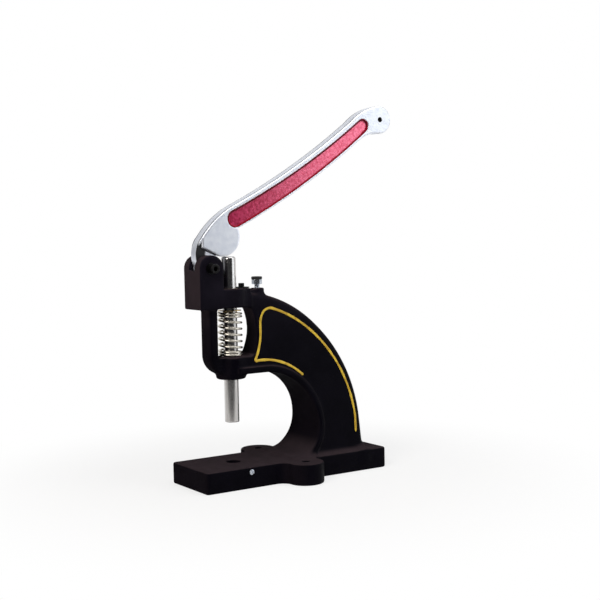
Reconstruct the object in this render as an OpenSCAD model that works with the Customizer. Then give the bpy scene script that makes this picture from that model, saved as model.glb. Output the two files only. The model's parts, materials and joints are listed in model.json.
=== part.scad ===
// Snap button press: a cast C-frame on a flat base, a hand lever on a clevis pivot,
// and a spring-returned ram over a die socket.
// Millimetres. The origin is on the ram axis at the underside of the base.
// +Z is up, the arm and the handle lie towards +X, and the lever turns about Y.

/* [Base] */
// Distance from the ram axis to the front end of the base
base_front = 55; // [40:1:80]
// Length of base behind the arm's back
base_rear_margin = 26; // [16:1:50]
// Width of the base across Y
base_w = 79; // [76:1:110]
// Height of the base
base_h = 23.5; // [20:0.5:36]
// Radius of the base's upright corners
base_corner_r = 4; // [1:0.5:10]
// Distance from the ram axis back to the two side lugs
lug_x = 62; // [50:1:90]
// Distance from the middle to each lug's hole
lug_y = 50; // [48:1:70]
// Radius of a lug's round end
lug_r = 20; // [12:0.5:24]
// Concave radius in front of each lug
lug_fillet_r = 10; // [3:0.5:14]
// Bench bolt hole in each lug
lug_hole_d = 9; // [5:0.5:14]
// Die socket through the base
die_hole_d = 16; // [8:0.5:18]
// Height of the die clamp screw above the underside
die_screw_z = 17.8; // [10:0.1:20]

/* [Arm] */
// Distance from the ram axis to the deepest point of the throat
throat_depth = 95; // [85:1:125]
// Radius of the throat's lower curve, which starts on the base
throat_low_r = 36.5; // [26:0.5:45]
// Radius of the throat's upper curve
throat_top_r = 60; // [52:0.5:75]
// Distance that the arm's back stands behind the ram axis
arm_back_x = 154; // [145:1:190]
// Depth of the arm's crown below the top of the head
arm_drop = 4; // [1:0.5:12]
// Thickness of the arm across Y at the head
arm_top_t = 20; // [18:0.5:30]
// Thickness of the arm across Y at its foot
arm_foot_t = 66; // [40:1:66]
// Depth below the top of the head at which the arm starts to widen
arm_taper_drop = 45; // [20:1:70]
// Fillet along the sides of the arm's foot
foot_side_fillet_r = 6; // [2:0.5:6]
// Fillet behind the arm's foot
foot_back_fillet_r = 12; // [4:1:15]

/* [Head] */
// Diameter of the lower ram boss
boss_d = 33; // [30:0.5:40]
// Depth of the lower boss below the arm's lower edge
boss_drop = 5.4; // [2:0.1:12]
// Round on the lower boss's bottom edge
boss_edge_r = 3; // [1:0.5:4]
// Height of the spring seat above the arm's lower edge
seat_rise = 19; // [14:0.5:30]
// Height of the spring window
window_h = 53; // [51:0.5:62]
// Depth of the window's back wall behind the ram axis
window_back = 26.5; // [22:0.5:30]
// Radius of the window's bulged back wall
window_back_r = 62; // [40:1:80]
// Distance from the ram axis to the window's front edge
window_front = 20; // [17:0.5:26]
// Thickness of the column in front of the spring
column_d = 11.5; // [8:0.5:16]
// Radius of the column's lower front corner
column_corner_r = 22; // [8:0.5:22]
// Height of the head block between the window and the head's top
head_h = 21; // [16:0.5:32]
// Width of the head block across Y
head_w = 36; // [34:0.5:50]
// Radius of the head block's front upright edges
head_edge_r = 1.5; // [1:0.5:6]
// Length of the head's flat behind the ram axis
head_back = 21.5; // [20:0.5:27]
// Distance that the lever's pivot stands ahead of the ram axis
pivot_ahead = 31.5; // [28:0.5:40]
// Height of the lever's pivot above the head's top
pivot_rise = 23; // [20:0.5:30]
// Radius of the clevis ears about the pivot
ear_r = 14; // [13:0.5:16]
// Length of the flat on top of each clevis ear
ear_flat = 1.5; // [0.5:0.1:3]
// Depth of the slot's front lip below the pivot
slot_lip_drop = 2.2; // [0:0.1:6]

/* [Lever] */
// Thickness of the lever's bar and cheeks
lever_t = 16.5; // [15:0.5:26]
// Thickness of the tongue between the clevis ears
tongue_t = 11.5; // [10:0.5:14.5]
// Radius of the tongue's eye about the pivot
eye_r = 9; // [8:0.5:11]
// Depth of the bow in the tongue's front
tongue_bow = 4.4; // [2:0.1:5]
// Centre of the pressing lobe behind the pivot
lobe_x = 21.5; // [19:0.5:26]
// Centre of the pressing lobe above the pivot
lobe_z = 33; // [30:0.5:38]
// Radius of the pressing lobe
lobe_r = 21; // [18:0.5:23]
// Length of the step over the clevis ears
step_len = 19.5; // [15:0.5:21]
// Slope of the step in degrees
step_a = 24; // [18:1:28]
// Distance that the heel's front stands ahead of the lobe's centre
heel_x = 26; // [24:0.1:28]
// Distance that the heel's front starts below the lobe's centre
heel_drop = 0.6; // [0:0.1:4]
// Distance that the bar's root stands behind the lobe's centre
root_x = 20.3; // [18:0.1:26]
// Distance that the bar's root stands above the lobe's centre
root_z = 22.9; // [20:0.1:26]
// Width of the bar at its root
bar_root_w = 24.8; // [22:0.2:28]
// Width of the bar at the neck
bar_tip_w = 24; // [20:0.5:28]
// Sag of the bar below straight
bar_sag = 4.7; // [2:0.1:8]
// Length of the curved neck between the bar and the handle hole
neck_x = 33.5; // [28:0.5:40]
// Rise of the neck
neck_z = 12.8; // [8:0.2:16]
// Handle hole behind the pivot
handle_x = 234.5; // [200:0.5:290]
// Handle hole above the pivot
handle_z = 164.5; // [140:0.5:190]
// Radius of the handle's round end
handle_r = 16; // [13:0.5:20]
// Hanging hole through the handle's end
handle_hole_d = 5; // [3:0.5:10]
// Width of the enamel panel near the heel
panel_root_w = 19; // [10:0.5:19.5]
// Width of the enamel panel near the handle
panel_tip_w = 16; // [8:0.5:17]
// Distance of the panel's middle below the bar's middle
panel_drop = 1.2; // [0:0.1:1.5]
// Length of the panel past the bar's root
panel_root_over = 6; // [0:0.5:7]
// Length of the panel past the bar's end
panel_tip_over = 10; // [0:0.5:10]
// Depth of the panel's recess in the lever
recess_depth = 1.6; // [0.8:0.1:3]
// Depth of the enamel in the recess
enamel_t = 0.8; // [0.3:0.1:1.2]

/* [Ram] */
// Diameter of the ram
ram_d = 16; // [12:0.5:20]
// Free height between the base and the raised ram
ram_gap = 43.8; // [30:0.2:60]
// Chamfer at the ram's ends
ram_chamfer = 1; // [0.2:0.1:2]
// Ram stroke at the end of the lever's swing
stroke = 21.5; // [10:0.5:22]
// Punch socket in the ram's lower end
punch_hole_d = 10; // [5:0.5:11]
// Depth of the punch socket
punch_hole_h = 18; // [14:0.5:30]
// Height of the punch clamp screw above the ram's lower end
punch_screw_rise = 9; // [5:0.5:12]
// Outer diameter of the return spring
spring_od = 27; // [23.5:0.5:28]
// Wire of the return spring
wire_d = 2.5; // [1.6:0.1:3]
// Coils of the return spring, the closed end coils counted
spring_coils = 8.5; // [6.5:0.5:9]
// Close coils at each end of the return spring
spring_end_coils = 1.5; // [1:0.5:2]
// Angle around the ram at which the spring's wire starts
spring_start_a = -33; // [-180:1:180]
// Thickness of the washer on top of the spring
washer_t = 0.8; // [0.6:0.1:2.5]
// Margin of the spring past the washer, and of the washer past the cross pin
washer_margin = 1; // [0.4:0.1:1.5]
// Cross pin that carries the ram on the washer
pin_d = 2; // [1.6:0.1:4]
// Gap between the raised cross pin and the head
pin_gap = 0.5; // [0.4:0.1:1.5]
// Outer diameter of the two guide bushes
bush_d = 21; // [20:0.5:26]

/* [Fasteners] */
// Pivot bolt's shank
pivot_d = 6; // [5:0.5:8]
// Pivot bolt's head
pivot_head_d = 10; // [9:0.5:13]
// Height of the pivot bolt's head
pivot_head_h = 9; // [4:0.5:12]
// Thickness of a pivot washer
pivot_washer_t = 1.2; // [0.6:0.1:2]
// Across the flats of the pivot nut
pivot_nut_af = 10; // [9.5:0.5:14]
// Height of the pivot nut
pivot_nut_h = 5; // [3:0.5:7]
// Wall of the bush in the lever's eye
eye_bush_wall = 1.5; // [0.8:0.1:1.5]
// Distance from the ram axis back to the stop bolt
stop_x = 35.3; // [34.5:0.1:44]
// Boss round the stop bolt
stop_boss_d = 15.5; // [12:0.5:17]
// Depth of the stop boss's top below the head's top
stop_boss_drop = 0.9; // [0.5:0.1:3.5]
// Width of the rib between the head and the stop boss
stop_rib_w = 13; // [8:0.5:15]
// Depth of the rib's top below the head's top
stop_rib_drop = 2.4; // [1:0.1:5]
// Shank of the stop bolt
stop_d = 6; // [4:0.5:8]
// Length of the stop bolt's shank
stop_len = 25; // [20:0.5:30]
// Length of shank that shows below the stop bolt's head
stop_show = 4; // [3.7:0.1:8]
// Depth of the stop bolt's hole below its end
stop_run = 6; // [4:0.5:10]
// Across the flats of the stop bolt's head
stop_af = 10; // [7:0.5:13]
// Height of the stop bolt's head
stop_head_h = 5.5; // [3:0.5:8]
// Diameter of the rubber pad on the stop bolt
pad_d = 12; // [8:0.5:14]
// Thickness of the rubber pad
pad_t = 3.2; // [1.5:0.1:5]
// Diameter of the die clamp screw
die_screw_d = 6; // [4:0.5:8]
// Length of the die clamp screw that stands out of the base
die_screw_show = 1; // [0.4:0.1:3]
// Gap between the opened die clamp screw and the die socket
die_screw_gap = 0.5; // [0.2:0.1:3]
// Width of the die clamp screw's slot
die_slot_w = 1; // [0.6:0.1:1.6]
// Depth of the die clamp screw's slot
die_slot_depth = 1.4; // [0.8:0.1:3]
// Diameter of the punch clamp screw
punch_screw_d = 4; // [2.5:0.5:5]
// Depth of the punch clamp screw's ends below the ram's surfaces
grub_inset = 0.3; // [0.2:0.1:0.5]
// Depth of the punch clamp screw's socket
grub_socket = 1; // [0.5:0.1:1.4]
// Distance from the ram axis back to the keeper screw
keeper_x = 15.4; // [14.5:0.1:17]
// Thickness of the keeper plate
keeper_t = 1.2; // [1:0.1:4]
// Width of the keeper plate
keeper_w = 14; // [10:0.5:18]
// Width of the keyway in the ram
key_w = 5; // [3:0.5:6]
// Depth of the keyway in the ram
key_depth = 2; // [1:0.1:2.2]
// Shank of the keeper screw
keeper_screw_d = 4; // [3:0.5:5]
// Head of the keeper screw
keeper_head_d = 6.5; // [6:0.5:8]
// Height of the keeper screw's head
keeper_head_h = 4; // [2:0.5:5]
// Depth of the keeper screw's hole in the head
keeper_grip = 12; // [8:0.5:16]

/* [Fits] */
// Radial clearance of turning and sliding fits
run_fit = 0.05; // [0.02:0.01:0.1]
// Radial clearance of fixed fits
fixed_fit = 0.02; // [0.01:0.01:0.05]
// Gap between pieces that rest on each other and move apart
rest_gap = 0.3; // [0.2:0.05:0.5]
// Gap on each side of the tongue in the clevis slot
slot_gap = 0.3; // [0.2:0.05:0.6]
// Gap under the eye in the clevis slot
eye_gap = 1.5; // [0.5:0.1:2.5]
// Free length past the end of a screw, and past each end of the keyway
end_gap = 2; // [1:0.5:3]

/* [Hidden] */
$fn = 96;
BIG_FN = 360;
ARC_STEPS = 14;

// Small overlap that joins features of one solid
join = 1;
// Depth at which an edge runs into a round
round_in = 0.5;
// Angle of the tongue's sides at the eye
TONGUE_A = 16;
// Gap between the close coils at each end of the spring
END_COIL_GAP = 0.5;

// Heights of the frame
arm_mid_z = base_h + throat_low_r;
arm_low_z = arm_mid_z + throat_top_r;
boss_low_z = arm_low_z - boss_drop;
seat_z = arm_low_z + seat_rise;
window_top_z = seat_z + window_h;
head_top_z = window_top_z + head_h;
pivot_z = head_top_z + pivot_rise;
stop_boss_z = head_top_z - stop_boss_drop;

// Arm
arm_outer_r = head_top_z - arm_drop - arm_mid_z;
arm_outer_x = arm_back_x - arm_outer_r;
arm_taper_z = head_top_z - arm_taper_drop;
foot_half = arm_foot_t / 2;
top_half = arm_top_t / 2;
foot_lean = atan((foot_half - top_half) / (arm_taper_z - base_h));
base_back = arm_back_x + base_rear_margin;

// Clevis
pivot_x = -pivot_ahead;
head_front = pivot_ahead + ear_r;
head_half = head_w / 2;
slot_w = tongue_t + 2 * slot_gap;
slot_r = eye_r + eye_gap;

// Ram and spring stack
ram_low_z = base_h + ram_gap;
ram_top_z = pivot_z + lobe_z - lobe_r - rest_gap;
ram_bore_d = ram_d + 2 * run_fit;
pin_z = window_top_z - pin_gap - pin_d / 2;
washer_low_z = pin_z - pin_d / 2 - washer_t;
washer_d = spring_od - 2 * washer_margin;
spring_low_z = seat_z + rest_gap;
spring_top_z = washer_low_z - rest_gap;
pin_len = washer_d - 2 * washer_margin;

// Keeper plate on the head's top, in the ram's keyway
keeper_low_z = head_top_z;
keeper_front = ram_d / 2 - key_depth + rest_gap;
key_low_z = keeper_low_z - end_gap;
key_top_z = keeper_low_z + keeper_t + stroke + end_gap;

// Stop bolt
stop_head_z = stop_boss_z + stop_show;
stop_tip_z = stop_head_z - stop_len;
stop_hole_z = stop_tip_z - stop_run;

// Points of the lever's outline, from the pivot
lobe_at = [lobe_x, lobe_z];
handle_at = [handle_x, handle_z];
handle_top = handle_at + [0, handle_r - round_in];
handle_low = handle_at - [0, handle_r - round_in];
step_back = lobe_at - (lobe_r - round_in) * [sin(step_a), cos(step_a)];
step_front = step_back + step_len * [-cos(step_a), sin(step_a)];
heel_front = lobe_at - [heel_x, heel_drop];
bar_root = lobe_at + [root_x, root_z];
bar_tip = handle_at - [neck_x, neck_z];

// The bar's middle line, an arc that sags below its chord
bar_chord = bar_tip - bar_root;
bar_len = norm(bar_chord);
bar_a = atan2(bar_chord[1], bar_chord[0]);
bar_half = 2 * atan(2 * bar_sag / bar_len);
bar_r = bar_len / 2 / sin(bar_half);
bar_mid = (bar_root + bar_tip) / 2 + (bar_r - bar_sag) * [-sin(bar_a), cos(bar_a)];
bar_root_a = bar_a - bar_half;
bar_tip_a = bar_a + bar_half;

// Points on the arc from p to q that bows out by bow on the right of the way
function arc(p, q, bow) =
    let (chord = norm(q - p))
    let (way = (q - p) / chord)
    let (side = [way[1], -way[0]])
    let (r = (chord * chord / 4 + bow * bow) / (2 * bow))
    let (mid = (p + q) / 2 + side * (bow - r))
    let (half = sign(bow) * atan2(chord / 2, abs(r) - abs(bow)))
    [for (i = [0:ARC_STEPS])
        let (a = -half + 2 * half * i / ARC_STEPS)
        mid + r * (side * cos(a) + way * sin(a))];

// The same points from last to first
function back(points) = [for (i = [len(points) - 1:-1:0]) points[i]];

// All points but the first
function rest(points) = [for (i = [1:len(points) - 1]) points[i]];

// Point beside the bar's middle line: t runs from 0 at the root to 1 at the neck
function beside(t, off) =
    let (a = bar_a + bar_half * (2 * t - 1))
    bar_mid + (bar_r - off) * [sin(a), -cos(a)];

// Points beside the middle line from t0 to t1, at a distance that goes from off0 to off1
function edge(t0, t1, off0, off1) = [for (i = [0:ARC_STEPS])
    let (k = i / ARC_STEPS)
    beside(t0 + (t1 - t0) * k, off0 + (off1 - off0) * k)];

// Bow of the arc from p to q that starts or ends at half of the angle a to its chord
function bow_of(p, q, a) = norm(q - p) / 2 * tan(a / 4);

// Extrudes an outline drawn in X and Z to a thickness centred on Y = 0
module across(t) {
    rotate([90, 0, 0]) linear_extrude(height = t, center = true) children();
}

// A straight cylinder along Y, from y0 to y1
module y_rod(d, y0, y1) {
    translate([0, y1, 0]) rotate([90, 0, 0]) cylinder(d = d, h = y1 - y0);
}

// A hexagonal prism along Z
module hex(af, h) {
    cylinder(d = af / cos(30), h = h, $fn = 6);
}

// A rectangle with round corners, from [x0, y0] to [x1, y1]
module round_rect(x0, y0, x1, y1, r) {
    for (x = [x0 + r, x1 - r], y = [y0 + r, y1 - r]) translate([x, y]) circle(r);
    translate([x0 + r, y0]) square([x1 - x0 - 2 * r, y1 - y0]);
    translate([x0, y0 + r]) square([x1 - x0, y1 - y0 - 2 * r]);
}

// Half of the base's outline with the lug on the +Y side
module lug_outline() {
    translate([lug_x, lug_y]) circle(lug_r);
    translate([lug_x - lug_r, 0]) square([2 * lug_r, lug_y]);
    difference() {
        translate([lug_x - lug_r - lug_fillet_r, base_w / 2 - join])
            square([lug_fillet_r + join, lug_fillet_r + join]);
        translate([lug_x - lug_r - lug_fillet_r, base_w / 2 + lug_fillet_r]) circle(lug_fillet_r);
    }
}

module base_plate() {
    linear_extrude(base_h) {
        round_rect(-base_front, -base_w / 2, base_back, base_w / 2, base_corner_r);
        lug_outline();
        mirror([0, 1]) lug_outline();
    }
}

// The throat's outline in X and Z, open to the front
module throat_outline() {
    top_x = throat_depth - throat_top_r;
    low_x = throat_depth - throat_low_r;
    intersection() {
        translate([top_x, arm_mid_z]) circle(throat_top_r, $fn = BIG_FN);
        translate([top_x, arm_mid_z]) square(throat_top_r + join);
    }
    intersection() {
        translate([low_x, arm_mid_z]) circle(throat_low_r, $fn = BIG_FN);
        translate([low_x, base_h]) square([throat_low_r + join, throat_low_r]);
    }
    translate([-base_front, arm_mid_z]) square([base_front + top_x, throat_top_r]);
    translate([-base_front, base_h]) square([base_front + low_x, throat_low_r]);
}

// The arm's outline in X and Z, behind the ram axis
module arm_outline() {
    difference() {
        union() {
            intersection() {
                translate([arm_outer_x, arm_mid_z]) circle(arm_outer_r, $fn = BIG_FN);
                translate([0, arm_mid_z]) square([arm_back_x + join, arm_outer_r + join]);
            }
            translate([0, base_h - join]) square([arm_back_x, throat_low_r + join]);
            difference() {
                translate([arm_back_x - join, base_h - join])
                    square([foot_back_fillet_r + join, foot_back_fillet_r + join]);
                translate([arm_back_x + foot_back_fillet_r, base_h + foot_back_fillet_r])
                    circle(foot_back_fillet_r);
            }
        }
        throat_outline();
    }
}

// One side of the arm's section in Y and Z: straight at the head, wider to the foot
module arm_section_half() {
    r = foot_side_fillet_r;
    mid_y = foot_half - r * tan(foot_lean) + r / cos(foot_lean);
    polygon([[-join, base_h - join], [foot_half, base_h - join], [foot_half, base_h],
        [top_half, arm_taper_z], [top_half, head_top_z + join], [-join, head_top_z + join]]);
    difference() {
        polygon([[foot_half - join, base_h - join], [mid_y, base_h - join], [mid_y, base_h],
            [mid_y - r * cos(foot_lean), base_h + r - r * sin(foot_lean)], [foot_half - join, base_h]]);
        translate([mid_y, base_h + r]) circle(r);
    }
}

module arm() {
    intersection() {
        across(base_w) arm_outline();
        rotate([90, 0, 90]) linear_extrude(base_back) {
            arm_section_half();
            mirror([1, 0]) arm_section_half();
        }
    }
}

// The column in front of the spring and its rounded corner under the boss
module column() {
    front = window_front + column_d;
    across(arm_top_t) difference() {
        translate([-front, arm_low_z]) square([front + join, window_top_z - arm_low_z + join]);
        difference() {
            translate([-front - join, arm_low_z - join]) square(column_corner_r + join);
            translate([-front + column_corner_r, arm_low_z + column_corner_r])
                circle(column_corner_r);
        }
    }
}

// The lower boss with its rounded bottom edge
module lower_boss() {
    h = seat_z - boss_low_z;
    r = boss_edge_r;
    translate([0, 0, boss_low_z]) rotate_extrude() {
        translate([0, r]) square([boss_d / 2, h - r]);
        square([boss_d / 2 - r, r + join]);
        intersection() {
            translate([boss_d / 2 - r, r]) circle(r);
            square([boss_d / 2, r + join]);
        }
    }
}

// The head's outline in X and Y: a block in front and a round behind the ram
module head_outline() {
    round_rect(-head_front, -head_half, 0, head_half, head_edge_r);
    circle(head_half);
    translate([0, -top_half]) square([head_back, arm_top_t]);
}

module head() {
    translate([0, 0, window_top_z]) linear_extrude(head_h) head_outline();
    translate([0, -stop_rib_w / 2, window_top_z]) cube([stop_x, stop_rib_w, head_h - stop_rib_drop]);
    intersection() {
        translate([0, 0, head_top_z - join]) linear_extrude(pivot_rise + ear_r + 2 * join)
            head_outline();
        across(head_w) {
            for (x = [pivot_x, pivot_x + ear_flat]) translate([x, pivot_z]) circle(ear_r);
            translate([pivot_x, pivot_z]) square([ear_flat, ear_r]);
            translate([pivot_x - ear_r, head_top_z - join])
                square([2 * ear_r + ear_flat, pivot_rise + join]);
        }
    }
}

// The clevis slot: round under the eye, open to the back, with a lip in front
module slot() {
    up = ear_r + join;
    rear = ear_r + ear_flat + join;
    across(slot_w) translate([pivot_x, pivot_z]) {
        circle(slot_r);
        translate([-ear_r - join, -slot_lip_drop]) square([ear_r + join + rear, slot_lip_drop + up]);
        translate([0, -slot_r]) square([rear, slot_r + up]);
    }
}

// The spring window, flat in front and bulged behind
module window() {
    mid_z = seat_z + window_h / 2;
    across(base_w) intersection() {
        translate([-window_front, seat_z]) square([window_front + window_back + join, window_h]);
        translate([window_back - window_back_r, mid_z]) circle(window_back_r, $fn = BIG_FN);
    }
}

module frame_casting() {
    color("#1c1a1b") difference() {
        union() {
            base_plate();
            difference() {
                union() {
                    arm();
                    column();
                    head();
                    translate([stop_x, 0, stop_tip_z])
                        cylinder(d = stop_boss_d, h = stop_boss_z - stop_tip_z);
                }
                window();
                slot();
            }
            lower_boss();
        }
        translate([0, 0, -join]) cylinder(d = die_hole_d, h = base_h + 2 * join);
        for (side = [-1, 1]) translate([lug_x, side * lug_y, -join])
            cylinder(d = lug_hole_d, h = base_h + 2 * join);
        translate([0, 0, die_screw_z]) y_rod(die_screw_d + 2 * run_fit, -base_w / 2 - join, 0);
        translate([0, 0, boss_low_z - join])
            cylinder(d = bush_d + 2 * fixed_fit, h = head_top_z - boss_low_z + 2 * join);
        translate([pivot_x, 0, pivot_z]) y_rod(pivot_d + 2 * fixed_fit, -head_w, head_w);
        translate([stop_x, 0, stop_hole_z])
            cylinder(d = stop_d + 2 * run_fit, h = head_top_z - stop_hole_z + join);
        translate([keeper_x, 0, head_top_z - keeper_grip])
            cylinder(d = keeper_screw_d + 2 * fixed_fit, h = keeper_grip + join);
    }
}

// The bar's edges from the root to the neck
bar_top = edge(0, 1, bar_root_w / 2, bar_tip_w / 2);
bar_low = edge(0, 1, -bar_root_w / 2, -bar_tip_w / 2);

// The heel's round runs smoothly into the bar's upper edge
heel_chord = bar_top[0] - heel_front;
heel_a = atan2(heel_chord[1], heel_chord[0]);
heel_bow = bow_of(heel_front, bar_top[0], 2 * (heel_a - bar_root_a));

// The lobe's round below and behind the heel
module lobe_outline() {
    reach = 2 * lobe_r;
    intersection() {
        circle(lobe_r);
        polygon([lobe_r / 4 * [-1, 1], reach * [cos(bar_root_a), sin(bar_root_a)],
            reach * [1, -1], reach * [-sin(step_a), -cos(step_a)]]);
    }
}

// The bar's outline with the rounded heel, the step over the clevis ears and the neck
module cheek_outline() {
    neck_top = arc(bar_top[ARC_STEPS], handle_top, -bow_of(bar_top[ARC_STEPS], handle_top, bar_tip_a));
    neck_low = arc(bar_low[ARC_STEPS], handle_low, -bow_of(bar_low[ARC_STEPS], handle_low, bar_tip_a));
    polygon(concat(arc(heel_front, bar_top[0], -heel_bow), rest(bar_top), rest(neck_top),
        back(neck_low), rest(back(bar_low)), [lobe_at, step_back, step_front]));
    translate(lobe_at) lobe_outline();
    translate(handle_at) circle(handle_r);
}

// The tongue below the step and in front of it, with the eye round the pivot
module tongue_outline() {
    side = (eye_r - round_in) * [cos(TONGUE_A), -sin(TONGUE_A)];
    circle(eye_r);
    polygon(concat(arc(-side, heel_front + [round_in, 0], -tongue_bow), [lobe_at, step_back, side]));
}

// The enamel panel's outline, drawn in on all sides by gap
module panel_outline(gap) {
    t0 = -panel_root_over / bar_len;
    t1 = 1 + panel_tip_over / bar_len;
    root_r = panel_root_w / 2 - gap;
    tip_r = panel_tip_w / 2 - gap;
    top = edge(t0, t1, root_r - panel_drop, tip_r - panel_drop);
    low = edge(t0, t1, -root_r - panel_drop, -tip_r - panel_drop);
    polygon(concat(top, rest(arc(top[ARC_STEPS], low[ARC_STEPS], -tip_r)),
        rest(back(low)), rest(arc(low[0], top[0], -root_r))));
}

// One enamel panel in its recess on the side given by -1 or 1
module lever_panel(side) {
    floor_y = lever_t / 2 - recess_depth;
    color("#a3152f") translate([pivot_x, side * (floor_y + enamel_t / 2), pivot_z])
        across(enamel_t) panel_outline(fixed_fit);
}

module lever_panel_near() {
    lever_panel(-1);
}

module lever_panel_far() {
    lever_panel(1);
}

module lever() {
    color("#d9d9dc") translate([pivot_x, 0, pivot_z]) difference() {
        union() {
            across(lever_t) cheek_outline();
            across(tongue_t) tongue_outline();
        }
        for (side = [-1, 1]) translate([0, side * lever_t / 2, 0])
            across(2 * recess_depth) panel_outline(0);
        y_rod(pivot_d + 2 * eye_bush_wall + 2 * fixed_fit, -lever_t, lever_t);
        translate([handle_x, 0, handle_z]) y_rod(handle_hole_d, -lever_t, lever_t);
    }
}

// Bush in the lever's eye, turning on the pivot bolt
module lever_bush() {
    color("#a9793c") translate([pivot_x, 0, pivot_z]) difference() {
        y_rod(pivot_d + 2 * eye_bush_wall, -tongue_t / 2, tongue_t / 2);
        y_rod(pivot_d + 2 * run_fit, -tongue_t, tongue_t);
    }
}

module pivot_bolt() {
    seat_y = head_half + pivot_washer_t;
    color("#1a1a1c") translate([pivot_x, 0, pivot_z]) difference() {
        union() {
            y_rod(pivot_d, -seat_y - join, seat_y + pivot_nut_h + end_gap);
            y_rod(pivot_head_d, -seat_y - pivot_head_h, -seat_y);
        }
        translate([0, -seat_y - pivot_head_h / 2, 0]) rotate([90, 0, 0]) hex(pivot_head_d / 2, pivot_head_h);
    }
}

module pivot_washers() {
    color("#2a2a2c") translate([pivot_x, 0, pivot_z]) for (side = [-1, 1])
        translate([0, side * (head_half + pivot_washer_t / 2), 0]) difference() {
            y_rod(2 * pivot_d, -pivot_washer_t / 2, pivot_washer_t / 2);
            y_rod(pivot_d + 2 * fixed_fit, -pivot_washer_t, pivot_washer_t);
        }
}

module pivot_nut() {
    color("#2a2a2c") translate([pivot_x, head_half + pivot_washer_t + pivot_nut_h, pivot_z])
        rotate([90, 0, 0]) difference() {
            hex(pivot_nut_af, pivot_nut_h);
            translate([0, 0, -join]) cylinder(d = pivot_d + 2 * fixed_fit, h = pivot_nut_h + 2 * join);
        }
}

module ram() {
    r = ram_d / 2;
    color("#c9c8c4") difference() {
        translate([0, 0, ram_low_z]) rotate_extrude() polygon([[0, 0], [r - ram_chamfer, 0],
            [r, ram_chamfer], [r, ram_top_z - ram_low_z - ram_chamfer],
            [r - ram_chamfer, ram_top_z - ram_low_z], [0, ram_top_z - ram_low_z]]);
        translate([0, 0, ram_low_z - join]) cylinder(d = punch_hole_d, h = punch_hole_h + join);
        translate([0, 0, pin_z]) y_rod(pin_d + 2 * fixed_fit, -ram_d, ram_d);
        translate([0, 0, ram_low_z + punch_screw_rise]) y_rod(punch_screw_d + 2 * run_fit, 0, ram_d);
        translate([r - key_depth, -key_w / 2, key_low_z]) cube([ram_d, key_w, key_top_z - key_low_z]);
    }
}

// Height of the spring's wire centre after t coils: close end coils, even ones between
function spring_z(t) =
    let (h = spring_top_z - spring_low_z - wire_d)
    let (end_pitch = wire_d + END_COIL_GAP)
    let (end_h = spring_end_coils * end_pitch)
    let (pitch = (h - 2 * end_h) / (spring_coils - 2 * spring_end_coils))
    t < spring_end_coils ? t * end_pitch
    : t > spring_coils - spring_end_coils ? h - (spring_coils - t) * end_pitch
    : end_h + (t - spring_end_coils) * pitch;

// A ring of the wire's section at t coils along the left-hand helix
function spring_ring(t) =
    let (a = spring_start_a - 360 * t)
    let (mid_r = (spring_od - wire_d) / 2)
    [for (k = [0:5])
        let (b = 60 * k)
        let (r = mid_r + wire_d / 2 * cos(b))
        [r * cos(a), r * sin(a), spring_low_z + wire_d / 2 + spring_z(t) + wire_d / 2 * sin(b)]];

RINGS_PER_COIL = 8;
spring_rings = RINGS_PER_COIL * spring_coils;
spring_points = [for (i = [0:spring_rings]) each spring_ring(i / RINGS_PER_COIL)];
spring_faces = concat(
    [for (i = [0:spring_rings - 1], k = [0:5])
        let (a = 6 * i + k)
        let (b = 6 * i + (k + 1) % 6)
        each [[a, b, a + 6], [b, b + 6, a + 6]]],
    [for (k = [1:4]) [0, k + 1, k]],
    [for (k = [1:4]) [6 * spring_rings, 6 * spring_rings + k, 6 * spring_rings + k + 1]]);

// Least gap between neighbouring coils, between points of the wire's rings
spring_gap = min([for (i = [0:spring_rings - RINGS_PER_COIL], j = [-1:1])
    if (i + RINGS_PER_COIL + j <= spring_rings)
        min([for (k = [0:5], m = [0:5])
            norm(spring_points[6 * i + k] - spring_points[6 * (i + RINGS_PER_COIL + j) + m])])]);
echo(spring_least_gap = spring_gap);

module ram_spring() {
    color("#cfc6b4") polyhedron(spring_points, spring_faces);
}

module spring_washer() {
    color("#b58d4b") translate([0, 0, washer_low_z]) difference() {
        cylinder(d = washer_d, h = washer_t);
        translate([0, 0, -join]) cylinder(d = ram_d + 2 * fixed_fit, h = washer_t + 2 * join);
    }
}

module ram_cross_pin() {
    color("#8f9094") translate([0, 0, pin_z]) y_rod(pin_d, -pin_len / 2, pin_len / 2);
}

// Grub screw in the ram's far side that holds a punch
module punch_clamp_screw() {
    r = ram_d / 2;
    wall = r - punch_hole_d / 2;
    color("#2c2c2e") translate([0, r - grub_inset, ram_low_z + punch_screw_rise])
        rotate([90, 0, 0]) difference() {
            cylinder(d = punch_screw_d, h = wall - 2 * grub_inset);
            translate([0, 0, -join]) hex(punch_screw_d / 2, join + grub_socket);
        }
}

// One flush bush for the ram, from low_z to top_z
module guide_bush(low_z, top_z) {
    color("#a9793c") translate([0, 0, low_z]) difference() {
        cylinder(d = bush_d, h = top_z - low_z);
        translate([0, 0, -join]) cylinder(d = ram_bore_d, h = top_z - low_z + 2 * join);
    }
}

module upper_guide_bush() {
    guide_bush(window_top_z, head_top_z);
}

module lower_guide_bush() {
    guide_bush(boss_low_z, seat_z);
}

module ram_keeper_plate() {
    color("#1f1d1e") translate([0, 0, keeper_low_z]) difference() {
        union() {
            translate([ram_d / 2 + rest_gap, -keeper_w / 2, 0])
                cube([head_back - ram_d / 2 - rest_gap, keeper_w, keeper_t]);
            translate([keeper_front, -key_w / 2 + rest_gap, 0])
                cube([ram_d / 2, key_w - 2 * rest_gap, keeper_t]);
        }
        translate([keeper_x, 0, -join])
            cylinder(d = keeper_screw_d + 2 * fixed_fit, h = keeper_t + 2 * join);
    }
}

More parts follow.
